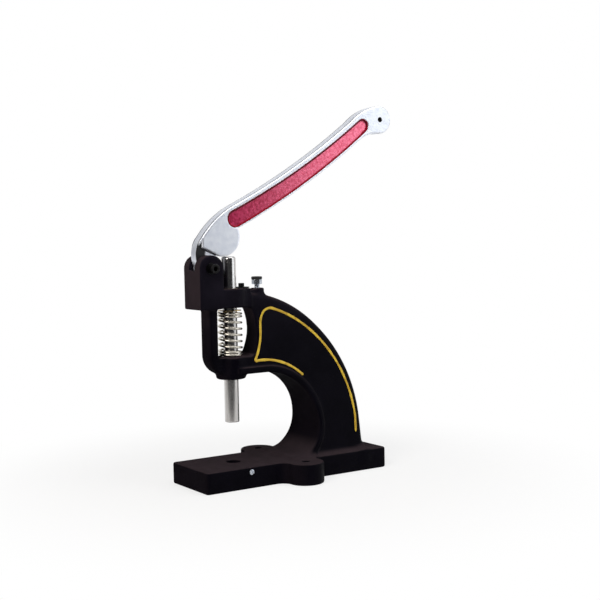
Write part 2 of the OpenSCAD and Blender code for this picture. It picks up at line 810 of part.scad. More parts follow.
module keeper_screw() {
    head_z = keeper_low_z + keeper_t;
    color("#1a1a1c") translate([keeper_x, 0, head_z]) difference() {
        union() {
            cylinder(d = keeper_head_d, h = keeper_head_h);
            translate([0, 0, end_gap - keeper_t - keeper_grip])
                cylinder(d = keeper_screw_d, h = keeper_t + keeper_grip - end_gap + join);
        }
        translate([0, 0, keeper_head_h / 2]) hex(keeper_head_d / 2, keeper_head_h);
    }
}

module stop_bolt() {
    color("#c3c7cb") translate([stop_x, 0, stop_head_z]) {
        hex(stop_af, stop_head_h);
        translate([0, 0, -stop_len]) cylinder(d = stop_d, h = stop_len + join);
    }
}

module stop_pad() {
    color("#161616") translate([stop_x, 0, stop_head_z + stop_head_h]) cylinder(d = pad_d, h = pad_t);
}

// Slotted screw in the base's near side that holds a die
module die_clamp_screw() {
    out = base_w / 2 + die_screw_show;
    color("#c3c7cb") translate([0, 0, die_screw_z]) difference() {
        y_rod(die_screw_d, -out, -die_hole_d / 2 - die_screw_gap);
        translate([-die_screw_d, -out - join, -die_slot_w / 2])
            cube([2 * die_screw_d, join + die_slot_depth, die_slot_w]);
    }
}

frame_casting();
lever();
lever_bush();
lever_panel_near();
lever_panel_far();
pivot_bolt();
pivot_washers();
pivot_nut();
ram();
ram_spring();
spring_washer();
ram_cross_pin();
punch_clamp_screw();
upper_guide_bush();
lower_guide_bush();
ram_keeper_plate();
keeper_screw();
stop_bolt();
stop_pad();
die_clamp_screw();
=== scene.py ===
"""Looks of a hand press for snap buttons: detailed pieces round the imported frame."""
import json
import math
import bpy
import numpy as np
import openvdb
from mathutils import Matrix, Vector


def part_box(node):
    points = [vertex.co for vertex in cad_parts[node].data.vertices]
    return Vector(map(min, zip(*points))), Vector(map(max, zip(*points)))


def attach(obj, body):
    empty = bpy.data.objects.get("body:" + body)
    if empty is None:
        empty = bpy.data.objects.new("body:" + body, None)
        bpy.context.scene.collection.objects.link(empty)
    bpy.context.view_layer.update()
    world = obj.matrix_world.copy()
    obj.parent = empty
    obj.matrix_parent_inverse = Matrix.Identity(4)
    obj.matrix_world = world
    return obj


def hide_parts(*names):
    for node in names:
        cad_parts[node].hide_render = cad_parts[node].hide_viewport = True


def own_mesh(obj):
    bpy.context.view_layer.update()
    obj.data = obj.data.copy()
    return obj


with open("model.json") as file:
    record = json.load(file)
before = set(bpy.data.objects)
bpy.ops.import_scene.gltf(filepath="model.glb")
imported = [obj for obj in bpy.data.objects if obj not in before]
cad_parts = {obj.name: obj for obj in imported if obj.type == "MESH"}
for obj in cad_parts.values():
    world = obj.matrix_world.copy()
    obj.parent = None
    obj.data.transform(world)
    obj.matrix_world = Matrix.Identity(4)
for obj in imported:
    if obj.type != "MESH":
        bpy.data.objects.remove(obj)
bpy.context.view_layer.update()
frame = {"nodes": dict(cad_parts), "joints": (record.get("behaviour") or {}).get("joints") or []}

# Every size below is in millimetres, and meshes are scaled to metres as they are made
MM = 0.001
COARSE = 1.0

# Steps of the grids on which the pieces are shaped, and the margin round each in steps
CASTING_STEP = 1.1 * COARSE
LEVER_STEP = 0.6 * COARSE
PANEL_STEP = 0.45 * COARSE
RAM_STEP = 0.4 * COARSE
BOLT_STEP = 0.25 * COARSE
SCREW_STEP = 0.2 * COARSE
GRID_MARGIN = 3


def node_box(name):
    """Lowest and highest corner of a CAD node, in millimetres."""
    low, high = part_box(name)
    return np.array(low) / MM, np.array(high) / MM


def joint(name):
    """What the frame says about a joint."""
    return next(entry for entry in frame["joints"] if entry["name"] == name)


# Places read from the frame
CASTING_LOW, CASTING_HIGH = node_box("frame_casting")
RAM_LOW, RAM_HIGH = node_box("ram")
SPRING_LOW, SPRING_HIGH = node_box("ram_spring")
STOP_LOW, STOP_HIGH = node_box("stop_bolt")
PAD_LOW, PAD_HIGH = node_box("stop_pad")
KEEPER_LOW, KEEPER_HIGH = node_box("ram_keeper_plate")
CAP_LOW, CAP_HIGH = node_box("keeper_screw")
DIE_LOW, DIE_HIGH = node_box("die_clamp_screw")
PIVOT_LOW, PIVOT_HIGH = node_box("pivot_bolt")
NUT_LOW, NUT_HIGH = node_box("pivot_nut")
LEVER_LOW, LEVER_HIGH = node_box("lever")
UPPER_BUSH_LOW, UPPER_BUSH_HIGH = node_box("upper_guide_bush")
LOWER_BUSH_LOW, LOWER_BUSH_HIGH = node_box("lower_guide_bush")
PIVOT = np.array(joint("lever_swing")["pos_m"]) / MM
RAM_TRAVEL = joint("ram_slide")["range_m"][1] / MM

# Base plate and its two bench lugs
BASE_W = 79.0
BASE_H = 23.5
BASE_CORNER_R = 4.0
BASE_EDGE_R = 2.0
LUG_X = 62.0
LUG_Y = 50.0
LUG_R = 20.0
LUG_FRONT_FILLET = 10.0
LUG_REAR_FILLET = 2.0
LUG_HOLE_R = 4.5
DIE_HOLE_R = 8.0
HOLE_EDGE_R = 0.8

# Arm with its throat
ARM_MID_Z = 60.0
ARM_OUTER_X = 5.0
ARM_OUTER_R = 149.0
ARM_BACK_X = 154.0
ARM_TOP_HALF = 10.0
ARM_FOOT_HALF = 33.0
ARM_TAPER_Z = 168.0
ARM_TAPER_EASE = 1.2
ARM_OUTER_EDGE_R = 6.0
ARM_THROAT_EDGE_R = 3.5
THROAT_RIM_W = 7.5
THROAT_RIM_RISE = 1.8
THROAT_RIM_EDGE_R = 1.6
THROAT_RIM_FILLET = 1.2
THROAT_X = 95.0
THROAT_LOW_R = 36.5
THROAT_TOP_R = 60.0
FOOT_FILLET = 7.0
FOOT_BACK_FILLET = 12.0
FOOT_BACK_RUN = 14.0

# Column, spring window and boss
COLUMN_FRONT = 31.5
COLUMN_CORNER_R = 22.0
COLUMN_EDGE_R = 4.0
WINDOW_FRONT = 20.0
WINDOW_BACK = 26.5
WINDOW_BACK_R = 62.0
WINDOW_EDGE_R = 2.0
WINDOW_CORNER_R = 3.0
BOSS_R = 16.5
BOSS_EDGE_R = 3.0
BOSS_FILLET = 3.0
BUSH_CLEAR = 0.02

# Head and clevis
HEAD_HALF = 18.0
HEAD_EDGE_R = 1.5
HEAD_BACK = 21.5
HEAD_FILLET = 3.0
EAR_R = 14.0
EAR_FLAT = 1.5
SLOT_HALF = 6.05
SLOT_R = 10.5
SLOT_LIP_DROP = 2.2
SLOT_EDGE_R = 1.0
STOP_BOSS_R = 7.75
STOP_BOSS_DROP = 0.9
STOP_BOSS_EDGE_R = 1.5
STOP_BOSS_FILLET = 4.0
STOP_RIB_HALF = 6.5
STOP_RIB_DROP = 2.4
STOP_RIB_FILLET = 1.5

# Lever, measured from the pivot in X and Z
LEVER_HALF = 8.25
TONGUE_HALF = 5.75
TONGUE_BOW = 4.4
TONGUE_A = math.radians(16)
EYE_R = 9.0
LOBE = np.array([21.5, 33.0])
LOBE_R = 21.0
STEP_LEN = 19.5
STEP_A = math.radians(24)
HEEL_FRONT = LOBE - np.array([26.0, 0.6])
BAR_ROOT = LOBE + np.array([20.3, 22.9])
BAR_ROOT_HALF = 12.4
BAR_TIP_HALF = 12.0
BAR_SAG = 4.7
HANDLE = np.array([234.5, 164.5])
HANDLE_R = 16.0
HANDLE_HOLE_R = 2.5
BAR_TIP = HANDLE - np.array([33.5, 12.8])
LEVER_EDGE_R = 2.2
PANEL_ROOT_HALF = 9.5
PANEL_TIP_HALF = 8.0
PANEL_DROP = 1.2
PANEL_ROOT_OVER = 6.0
PANEL_TIP_OVER = 10.0
RECESS_DEPTH = 1.6
ENAMEL_FLOOR = 6.95
ENAMEL_WALL_H = 1.1
ENAMEL_WALL_RUN = 2.7
# Near the tip the dark enamel wall runs wider, as a painted shadow of the recess's edge
ENAMEL_TIP_RUN = 4.6
ENAMEL_TIP_LEN = 12.0
ENAMEL_WALL_POWER = 1.3
ENAMEL_EDGE_R = 0.15
RECESS_EDGE_R = 0.6
LIP_W = 2.4
LIP_LOW = 21.0
ARC_STEPS = 24

# The line where the painted shade on the tongue's front half ends: the shaded slit between the lever's
# front lip and its cheek, which leans back going up
SLIT_LOW = np.array([-10.2, 22.0])
SLIT_WAY = np.array([0.56, 0.83])

# The step in front of the lever's lobe
STEP_DOWN = np.array([math.sin(STEP_A), math.cos(STEP_A)])
STEP_BACK = LOBE - LOBE_R * STEP_DOWN
STEP_FRONT = STEP_BACK + STEP_LEN * np.array([-math.cos(STEP_A), math.sin(STEP_A)])

# The middle line of the lever's bar: an arc from its root to its neck
CHORD = BAR_TIP - BAR_ROOT
BAR_LEN = np.linalg.norm(CHORD)
BAR_A = math.atan2(CHORD[1], CHORD[0])
BAR_TURN = 2 * math.atan(2 * BAR_SAG / BAR_LEN)
BAR_R = BAR_LEN / 2 / math.sin(BAR_TURN)
BAR_MID = (BAR_ROOT + BAR_TIP) / 2 + (BAR_R - BAR_SAG) * np.array([-math.sin(BAR_A), math.cos(BAR_A)])

# Sine and cosine of the cone at 30 degrees that takes the corners off a hexagon
CONE_SIN = 0.5
CONE_COS = 0.866

# The flat on the ram's back, where the keeper plate stops it turning
KEY_X = 6.0
KEY_HALF = 2.5
KEY_END_GAP = 2.0

# Pinstripe on the arm's two sides, in X and Z
STRIPE_HALF = 1.45
STRIPE_RISE = 0.35
STRIPE_SINK = 0.15
STRIPE_SEGMENT = 1.5
STRIPE_RING_STEPS = 60

# The range that most of a noise texture falls in
NOISE_LOW = 0.3
NOISE_HIGH = 0.7


# Fields: negative inside a shape, in millimetres

def disc(u, v, mid_u, mid_v, r):
    return np.hypot(u - mid_u, v - mid_v) - r


def slab(u, low, high):
    return np.maximum(low - u, u - high)


def round_rect(u, v, low_u, high_u, low_v, high_v, r):
    over_u = np.abs(u - (low_u + high_u) / 2) - (high_u - low_u) / 2 + r
    over_v = np.abs(v - (low_v + high_v) / 2) - (high_v - low_v) / 2 + r
    outside = np.hypot(np.maximum(over_u, 0), np.maximum(over_v, 0))
    return outside + np.minimum(np.maximum(over_u, over_v), 0) - r


def both(a, b, r=0.0):
    """Where two shapes overlap, with the edge between them rounded to r."""
    if np.isscalar(r) and r == 0:
        return np.maximum(a, b)
    corner = np.hypot(np.maximum(a + r, 0), np.maximum(b + r, 0))
    return np.minimum(np.maximum(a, b), -r) + corner


def either(a, b, r=0.0):
    """Two shapes joined, with a fillet of r in the corner between them."""
    return -both(-a, -b, r)


def cut(a, b, r=0.0):
    """The first shape without the second, with the edge rounded to r."""
    return both(a, -b, r)


def middle(low, high):
    """The middle of a box."""
    return (low + high) / 2


def hexagon(u, v, across):
    slant = np.abs(u) * math.cos(math.pi / 6) + np.abs(v) * math.sin(math.pi / 6)
    return np.maximum(np.abs(v), slant) - across / 2


def hex_head(u, v, along, low, high, across, edge_r):
    """A hexagon between two heights, with its corners taken off at both ends."""
    ends = slab(along, low, high)
    cone = np.hypot(u, v) * CONE_SIN + ends * CONE_COS - across / 4
    return both(np.maximum(hexagon(u, v, across), ends), cone, edge_r)


def thread(u, v, along, r, pitch, depth):
    """A screw thread round the axis of along, cut into a bar of radius r."""
    turn = np.arctan2(v, u) / (2 * math.pi)
    phase = (along / pitch - turn) % 1.0
    return np.hypot(u, v) - r + depth * np.abs(2 * phase - 1)


def polygon(points, u, v):
    """Distance to a closed outline, negative inside it."""
    near = np.full(np.broadcast(u, v).shape, np.inf)
    inside = np.zeros(near.shape, bool)
    for (u0, v0), (u1, v1) in zip(points, np.roll(points, -1, axis=0)):
        du, dv = u1 - u0, v1 - v0
        share = np.clip(((u - u0) * du + (v - v0) * dv) / (du * du + dv * dv), 0, 1)
        near = np.minimum(near, np.hypot(u - u0 - share * du, v - v0 - share * dv))
        crosses = (v0 <= v) != (v1 <= v)
        if dv:
            inside ^= crosses & (u < u0 + (v - v0) * du / dv)
    return np.where(inside, -near, near)


def grid(low, high, step):
    """Coordinates of a regular grid round a box, with a margin."""
    margin = GRID_MARGIN * step
    axes = [np.arange(l - margin, h + margin + step / 2, step) for l, h in zip(low, high)]
    return np.meshgrid(*axes, indexing="ij", sparse=True)


def new_piece(name, points, faces, body, material, replaced=()):
    """A mesh piece with smooth shading, from points in millimetres."""
    mesh = bpy.data.meshes.new(name)
    mesh.from_pydata((np.asarray(points) * MM).tolist(), [], faces)
    mesh.polygons.foreach_set("use_smooth", [True] * len(mesh.polygons))
    mesh.materials.append(material)
    mesh.update()
    piece = bpy.data.objects.new(name, mesh)
    bpy.context.scene.collection.objects.link(piece)
    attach(piece, body)
    if replaced:
        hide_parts(*replaced)
    return piece


def field_piece(name, field, axes, body, material, replaced=()):
    """A piece on the zero surface of a field that is sampled on a grid."""
    x, y, z = (axis.ravel() for axis in axes)
    step = x[1] - x[0]
    values = np.broadcast_to(field, (len(x), len(y), len(z))).astype(np.float32)
    volume = openvdb.FloatGrid()
    volume.background = GRID_MARGIN * float(step)
    volume.copyFromArray(np.ascontiguousarray(values))
    points, quads = volume.convertToQuads(isovalue=0.0)
    points = points * step + np.array([x[0], y[0], z[0]])
    new_piece(name, points, quads[:, ::-1].tolist(), body, material, replaced)


# Materials: each has its own grain, roughness and bump

class Shading:
    """Helpers for the nodes of a material or of the world."""

    def __init__(self, owner):
        owner.use_nodes = True
        self.nodes = owner.node_tree.nodes
        self.links = owner.node_tree.links

    def maths(self, operation, first, second=0.0):
        node = self.nodes.new("ShaderNodeMath")
        node.operation = operation
        for socket, value in zip(node.inputs, (first, second)):
            if isinstance(value, (int, float)):
                socket.default_value = value
            else:
                self.links.new(value, socket)
        return node.outputs["Value"]

    def times(self, first, second):
        return self.maths("MULTIPLY", first, second)

    def most(self, first, second):
        return self.maths("MAXIMUM", first, second)

    def distance(self, first, second, way):
        """How far a place lies along a way, from its two coordinates in a plane."""
        return self.maths("ADD", self.times(first, way[0]), self.times(second, way[1]))

    def radius(self, first, second):
        """How far a place lies from the origin, from its two coordinates in a plane."""
        squares = self.maths("ADD", self.times(first, first), self.times(second, second))
        return self.maths("SQRT", squares)

    def map_range(self, kind, value, start, end, low, high):
        node = self.nodes.new("ShaderNodeMapRange")
        node.interpolation_type = kind
        node.inputs["From Min"].default_value = start
        node.inputs["From Max"].default_value = end
        node.inputs["To Min"].default_value = low
        node.inputs["To Max"].default_value = high
        self.links.new(value, node.inputs["Value"])
        return node.outputs["Result"]

    def span(self, value, low, high):
        """A number that goes from low to high over the range of a noise."""
        return self.map_range("LINEAR", value, NOISE_LOW, NOISE_HIGH, low, high)

    def share(self, value, start, end, low=0.0, high=1.0):
        """A smooth change from low to high as value goes from start to end."""
        return self.map_range("SMOOTHSTEP", value, start, end, low, high)

    def rise(self, value, start, end, low=0.0, high=1.0):
        """The same for a length, from start to end in millimetres."""
        return self.share(value, start * MM, end * MM, low, high)

    def show_white(self, camera_share, mirror_share, shader, white, output):
        """Shows white in place of a shader to the camera, and in shiny metal and glass."""
        path = self.nodes.new("ShaderNodeLightPath").outputs
        mirror = self.most(path["Is Glossy Ray"], path["Is Transmission Ray"])
        to_camera = self.times(path["Is Camera Ray"], camera_share)
        seen = self.most(to_camera, self.times(mirror, mirror_share))
        mix = self.nodes.new("ShaderNodeMixShader")
        self.links.new(seen, mix.inputs["Fac"])
        self.links.new(shader.outputs[0], mix.inputs[1])
        self.links.new(white.outputs[0], mix.inputs[2])
        self.links.new(mix.outputs[0], self.nodes[output].inputs["Surface"])


class Finish(Shading):
    """A principled material, with more helpers for its nodes."""

    def __init__(self, name):
        self.material = bpy.data.materials.new(name)
        super().__init__(self.material)
        self.shader = self.nodes["Principled BSDF"]
        self.place = self.nodes.new("ShaderNodeTexCoord").outputs["Object"]

    def noise(self, scale, detail=3.0, stretch=(1, 1, 1)):
        texture = self.nodes.new("ShaderNodeTexNoise")
        texture.inputs["Scale"].default_value = scale
        texture.inputs["Detail"].default_value = detail
        mapping = self.nodes.new("ShaderNodeMapping")
        mapping.inputs["Scale"].default_value = stretch
        self.links.new(self.place, mapping.inputs["Vector"])
        self.links.new(mapping.outputs["Vector"], texture.inputs["Vector"])
        return texture.outputs["Fac"]

    def ramp(self, value, low, high, start=0.35, end=0.65):
        """A change from one colour to another as value goes from start to end."""
        node = self.nodes.new("ShaderNodeValToRGB")
        for stop, position, colour in zip(node.color_ramp.elements, (start, end), (low, high)):
            stop.position = position
            stop.color = (*colour, 1)
        self.links.new(value, node.inputs["Fac"])
        return node.outputs["Color"]

    def mix(self, share, first, second):
        node = self.nodes.new("ShaderNodeMix")
        node.data_type = "RGBA"
        self.links.new(share, node.inputs["Factor"])
        for socket, value in (("A", first), ("B", second)):
            if isinstance(value, tuple):
                node.inputs[socket].default_value = (*value, 1)
            else:
                self.links.new(value, node.inputs[socket])
        return node.outputs["Result"]

    def part(self, vector, axis):
        split = self.nodes.new("ShaderNodeSeparateXYZ")
        self.links.new(vector, split.inputs["Vector"])
        return split.outputs[axis]

    def coordinate(self, axis, start=0.0):
        """Distance along an axis from a start in millimetres, in metres."""
        return self.maths("SUBTRACT", self.part(self.place, axis), start * MM)

    def facing(self, axis):
        """How much the surface looks along an axis, from -1 to 1."""
        return self.part(self.nodes.new("ShaderNodeTexCoord").outputs["Normal"], axis)

    def colour(self, value):
        self.links.new(value, self.shader.inputs["Base Color"])

    def roughness(self, value):
        self.links.new(value, self.shader.inputs["Roughness"])

    def metallic(self, value):
        self.links.new(value, self.shader.inputs["Metallic"])

    def bump(self, heights):
        """Bumps stacked on each other, from pairs of a height and its depth in metres."""
        normal = None
        for height, depth in heights:
            node = self.nodes.new("ShaderNodeBump")
            node.inputs["Strength"].default_value = 1.0
            node.inputs["Distance"].default_value = depth
            self.links.new(height, node.inputs["Height"])
            if normal:
                self.links.new(normal, node.inputs["Normal"])
            normal = node.outputs["Normal"]
        self.links.new(normal, self.shader.inputs["Normal"])

    def constant(self, **values):
        for name, value in values.items():
            self.shader.inputs[name.replace("_", " ")].default_value = value
        return self.material


def black_paint():
    """Black paint over rough cast iron, matt on faces that look up or forward. Its colour holds painted
    light and shade: a dusty brown tone on faces that look up or forward, partly real and partly painted
    light, fading low on the front as painted shade; darker paint lower down as painted shade; lighter
    convex edge lines as painted highlights.
    """
    # Paint tones, darker low down and lighter up at the head: painted shade and painted light from lamps
    # above
    deep = ((0.0012, 0.0009, 0.0024), (0.0022, 0.0017, 0.0040))
    lit_high = ((0.0060, 0.0048, 0.0088), (0.0104, 0.0086, 0.0142))
    # A dusty brown tone, partly real and partly painted light on faces that look up or forward; low on
    # the front it fades, as painted shade in the throat
    brown_dust_and_light = (0.0340, 0.0245, 0.0285)
    # Painted highlight on convex edge lines
    edge_highlight_tone = (0.0430, 0.0370, 0.0450)
    edge_highlight_share = 0.7
    lit_z = (145, 225)
    front_light_z = (165, 205)
    shaded_front_share = 0.12
    top_range = (0.35, 0.85)
    front_range = (0.35, 0.95)
    edge_highlight_range = (0.51, 0.56)
    matt_range = (0.3, 0.85)
    matt_rise = 0.5
    finish = Finish("black_paint")
    cloud = finish.noise(38, 4)
    height = finish.coordinate("Z")
    # Painted shade: the paint grows darker lower down
    upper = finish.rise(height, *lit_z)
    clean = finish.mix(upper, finish.ramp(cloud, *deep), finish.ramp(cloud, *lit_high))
    upward = finish.facing("Z")
    forward = finish.times(finish.facing("X"), -1.0)
    on_top = finish.share(upward, *top_range)
    # Faces that look forward get the brown tone as painted light where the key light falls, and less of
    # it low down as painted shade
    lit_front = finish.times(finish.share(forward, *front_range),
                            finish.rise(height, *front_light_z, shaded_front_share, 1.0))
    dust_and_light = finish.times(finish.most(on_top, lit_front), finish.span(cloud, 0.75, 1.0))
    painted = finish.mix(dust_and_light, clean, brown_dust_and_light)
    # Painted highlight: convex edge lines, found by pointiness, are lighter
    pointed = finish.nodes.new("ShaderNodeNewGeometry").outputs["Pointiness"]
    edge_highlight = finish.times(finish.share(pointed, *edge_highlight_range), edge_highlight_share)
    finish.colour(finish.mix(edge_highlight, painted, edge_highlight_tone))
    tilt = finish.most(finish.maths("ABSOLUTE", upward), forward)
    matt = finish.share(tilt, *matt_range, 0, matt_rise)
    finish.roughness(finish.maths("ADD", finish.span(finish.noise(90, 4), 0.36, 0.5), matt))
    finish.bump([(finish.noise(70, 3), 0.00035), (finish.noise(620, 3), 0.00006)])
    return finish.constant(Specular_IOR_Level=0.03)


def painted_shade_and_grease(finish):
    """Where the lever is darkened by painted shade, partly greasy: in the handle's hole, on the tongue's
    front half and under the cheek's step.
    """
    hole_rim = (HANDLE_HOLE_R + 0.3, HANDLE_HOLE_R + 0.7)
    face_start = (TONGUE_HALF - 0.7, TONGUE_HALF - 0.4)
    face_end = (TONGUE_HALF + 0.6, TONGUE_HALF + 1.2)
    smear_len = 4
    front_end = (1.0, 3.0)
    slit_blur = 0.3
    slit = float(SLIT_LOW[0] * SLIT_WAY[1] - SLIT_LOW[1] * SLIT_WAY[0])
    step = float(STEP_BACK @ STEP_DOWN)
    step_edge = (step - 1.2, step - 0.7)
    along = finish.coordinate("X", PIVOT[0])
    up = finish.coordinate("Z", PIVOT[2])
    over = finish.maths("SUBTRACT", along, HANDLE[0] * MM)
    above = finish.maths("SUBTRACT", up, HANDLE[1] * MM)
    # Painted shade inside the handle's hole
    hole = finish.rise(finish.radius(over, above), *hole_rim, 1, 0)
    out = finish.maths("ABSOLUTE", finish.coordinate("Y"))
    face = finish.times(finish.rise(out, *face_start), finish.rise(out, *face_end, 1, 0))
    smear = finish.times(finish.noise(220, 4), smear_len * MM)
    # Painted shade on the tongue's front half, up to the slit's line
    front = finish.rise(finish.maths("ADD", along, smear), *front_end, 1, 0)
    lip_side = finish.distance(along, up, (SLIT_WAY[1], -SLIT_WAY[0]))
    front = finish.times(front, finish.rise(lip_side, slit - slit_blur, slit + slit_blur))
    # Painted shade under the cheek's step, on the tongue's face
    under_step = finish.rise(finish.distance(along, up, STEP_DOWN), *step_edge)
    return finish.most(hole, finish.times(face, finish.most(front, under_step)))


def cast_aluminium():
    """Bright tumbled aluminium with a faint mottle, with painted shade, partly greasy, round the joint
    and in the handle's hole.
    """
    greasy_shade_black = (0.010, 0.010, 0.011)
    finish = Finish("cast_aluminium")
    mottle = finish.noise(130, 5)
    clean = finish.ramp(mottle, (0.765, 0.795, 0.87), (0.865, 0.89, 0.945))
    shade_and_grease = painted_shade_and_grease(finish)
    # Painted shade, partly greasy, where the mask is high
    finish.colour(finish.mix(shade_and_grease, clean, greasy_shade_black))
    finish.metallic(finish.maths("SUBTRACT", 1.0, shade_and_grease))
    finish.roughness(finish.span(finish.noise(260, 4), 0.42, 0.54))
    finish.bump([(finish.noise(160, 4), 0.00006), (finish.noise(900, 2), 0.000008)])
    return finish.constant(Specular_IOR_Level=0.4)


def red_enamel():
    """Crimson enamel on a grainy cast floor, pinker to the tip as painted light and thinner enamel, with
    deep red walls round it, darker where they look down as painted shade.
    """
    root = ((0.28, 0.010, 0.040), (0.52, 0.038, 0.115))
    tip = ((0.76, 0.120, 0.200), (0.96, 0.240, 0.360))
    grain_range = (0.36, 0.66)
    thin_and_lit_span = (BAR_ROOT[0] - 26, BAR_TIP[0] - 18)
    shaded_wall = (0.11, 0.0, 0.008)
    lit_wall = (0.29, 0.0, 0.014)
    wall_turn = (-0.15, 0.15)
    wall_foot = (ENAMEL_FLOOR + 0.02, ENAMEL_FLOOR + 0.22)
    floor_metal = 0.55
    finish = Finish("red_enamel")
    grain = finish.noise(330, 5)
    # Painted light: the floor grows pinker and lighter towards the tip, partly thinner enamel
    along = finish.rise(finish.coordinate("X", PIVOT[0]), *thin_and_lit_span)
    floor = finish.mix(along, finish.ramp(grain, *root, *grain_range),
                       finish.ramp(grain, *tip, *grain_range))
    # Painted shade on walls that look down, painted light on walls that look up
    looking_up = finish.share(finish.facing("Z"), *wall_turn)
    wall = finish.mix(looking_up, shaded_wall, lit_wall)
    on_wall = finish.rise(finish.maths("ABSOLUTE", finish.coordinate("Y")), *wall_foot)
    finish.colour(finish.mix(on_wall, floor, wall))
    finish.metallic(finish.times(finish.maths("SUBTRACT", 1.0, on_wall), floor_metal))
    finish.roughness(finish.span(finish.noise(520, 4), 0.3, 0.46))
    finish.bump([(grain, 0.0002)])
    return finish.constant(Specular_IOR_Level=0.15)


def grained(name, tones, grain, polish_grain, polish, bump_depth, bump_on_polish=False, **constant):
    """A finish with two tones, fine grain and uneven polish; the grains are noises."""
    finish = Finish(name)
    tone = finish.noise(*grain)
    finish.colour(finish.ramp(tone, *tones))
    sheen = finish.noise(*polish_grain)
    finish.roughness(finish.span(sheen, *polish))
    finish.bump([(sheen if bump_on_polish else tone, bump_depth)])
    return finish.constant(**constant)


def plain_metal(name, low, high, rough_low, rough_high):
    """A metal of the small pieces."""
    polish = (rough_low, rough_high)
    return grained(name, (low, high), (420, 4), (672, 3), polish, 0.00003, Metallic=1.0)


# The frame casting

def arm_half(z):
    """Half of the arm's thickness at a height: even at the head, wider to the foot."""
    slope = (ARM_FOOT_HALF - ARM_TOP_HALF) / (ARM_TAPER_Z - BASE_H)
    grow = slope * (ARM_TAPER_Z - z)
    return ARM_TOP_HALF + (grow + np.sqrt(grow * grow + ARM_TAPER_EASE ** 2)) / 2


def base_field(x, y, z):
    outline = round_rect(x, y, CASTING_LOW[0], CASTING_HIGH[0], -BASE_W / 2, BASE_W / 2, BASE_CORNER_R)
    lug = np.hypot(x - LUG_X, np.maximum(np.abs(y) - LUG_Y, 0)) - LUG_R
    fillet = np.where(x < LUG_X, LUG_FRONT_FILLET, LUG_REAR_FILLET)
    return both(either(outline, lug, fillet), slab(z, 0, BASE_H), BASE_EDGE_R)


def throat_field(x, z):
    top_x = THROAT_X - THROAT_TOP_R
    low_x = THROAT_X - THROAT_LOW_R
    top = np.where(x > top_x, disc(x, z, top_x, ARM_MID_Z, THROAT_TOP_R), z - ARM_MID_Z - THROAT_TOP_R)
    low = np.where(x > low_x, disc(x, z, low_x, ARM_MID_Z, THROAT_LOW_R), BASE_H - z)
    return np.where(z > ARM_MID_Z, top, low)


def arm_field(x, y, z):
    outer = np.where(z > ARM_MID_Z, disc(x, z, ARM_OUTER_X, ARM_MID_Z, ARM_OUTER_R), x - ARM_BACK_X)
    lean = math.atan2(ARM_FOOT_HALF - ARM_TOP_HALF, ARM_TAPER_Z - BASE_H)
    side = (np.abs(y) - arm_half(z)) * math.cos(lean)
    arm = both(outer, side, ARM_OUTER_EDGE_R)
    throat = throat_field(x, z)
    rim = both(throat - THROAT_RIM_W, side - THROAT_RIM_RISE, THROAT_RIM_EDGE_R)
    arm = either(arm, rim, THROAT_RIM_FILLET)
    arm = cut(arm, throat, ARM_THROAT_EDGE_R)
    front = np.where(z > ARM_MID_Z, 0, THROAT_X - THROAT_LOW_R) - x
    return np.maximum(np.maximum(arm, front), BASE_H / 2 - z)


def column_field(x, y, z):
    arm_low_z = ARM_MID_Z + THROAT_TOP_R
    outline = both(-COLUMN_FRONT - x, arm_low_z - z, COLUMN_CORNER_R)
    outline = np.maximum(outline, np.maximum(x - BOSS_R, z - UPPER_BUSH_LOW[2] - HEAD_EDGE_R))
    return both(outline, np.abs(y) - ARM_TOP_HALF, COLUMN_EDGE_R)


def window_field(x, z):
    low_z, high_z = LOWER_BUSH_HIGH[2], UPPER_BUSH_LOW[2]
    bulge = disc(x, z, WINDOW_BACK - WINDOW_BACK_R, (low_z + high_z) / 2, WINDOW_BACK_R)
    return both(both(-WINDOW_FRONT - x, bulge, WINDOW_CORNER_R), slab(z, low_z, high_z), WINDOW_CORNER_R)


def head_field(x, y, z):
    low_z, top_z = UPPER_BUSH_LOW[2], UPPER_BUSH_HIGH[2]
    front = PIVOT[0] - EAR_R
    block = round_rect(x, y, front, HEAD_EDGE_R, -HEAD_HALF, HEAD_HALF, HEAD_EDGE_R)
    outline = np.minimum(block, disc(x, y, 0, 0, HEAD_HALF))
    strip = np.maximum(slab(x, 0, HEAD_BACK), np.abs(y) - ARM_TOP_HALF)
    outline = either(outline, strip, HEAD_FILLET)
    head = both(outline, slab(z, low_z, top_z), HEAD_EDGE_R)
    along = x - PIVOT[0]
    ear = np.hypot(along - np.clip(along, 0, EAR_FLAT), np.maximum(z - PIVOT[2], 0)) - EAR_R
    ears = both(both(ear, np.abs(y) - HEAD_HALF, HEAD_EDGE_R), low_z - z, HEAD_EDGE_R)
    return np.minimum(head, ears)


def slot_field(x, y, z):
    """The clevis slot: round under the eye, open to the back, with a lip in front."""
    along, up = x - PIVOT[0], z - PIVOT[2]
    outline = np.hypot(along, up) - SLOT_R
    reach = EAR_R + EAR_FLAT + HEAD_EDGE_R
    outline = np.minimum(outline, np.maximum(np.abs(along) - reach, -SLOT_LIP_DROP - up))
    outline = np.minimum(outline, np.maximum(-along, -SLOT_R - up))
    return np.maximum(outline, np.abs(y) - SLOT_HALF)


def stop_field(x, y, z):
    """The stop bolt's boss, and the rib between it and the head."""
    bolt_x = middle(STOP_LOW, STOP_HIGH)[0]
    top_z = UPPER_BUSH_HIGH[2]
    boss = disc(x, y, bolt_x, 0, STOP_BOSS_R)
    boss = both(boss, slab(z, STOP_LOW[2], top_z - STOP_BOSS_DROP), STOP_BOSS_EDGE_R)
    rib = np.maximum(slab(x, 0, bolt_x), np.abs(y) - STOP_RIB_HALF)
    return boss, np.maximum(rib, slab(z, UPPER_BUSH_LOW[2], top_z - STOP_RIB_DROP))


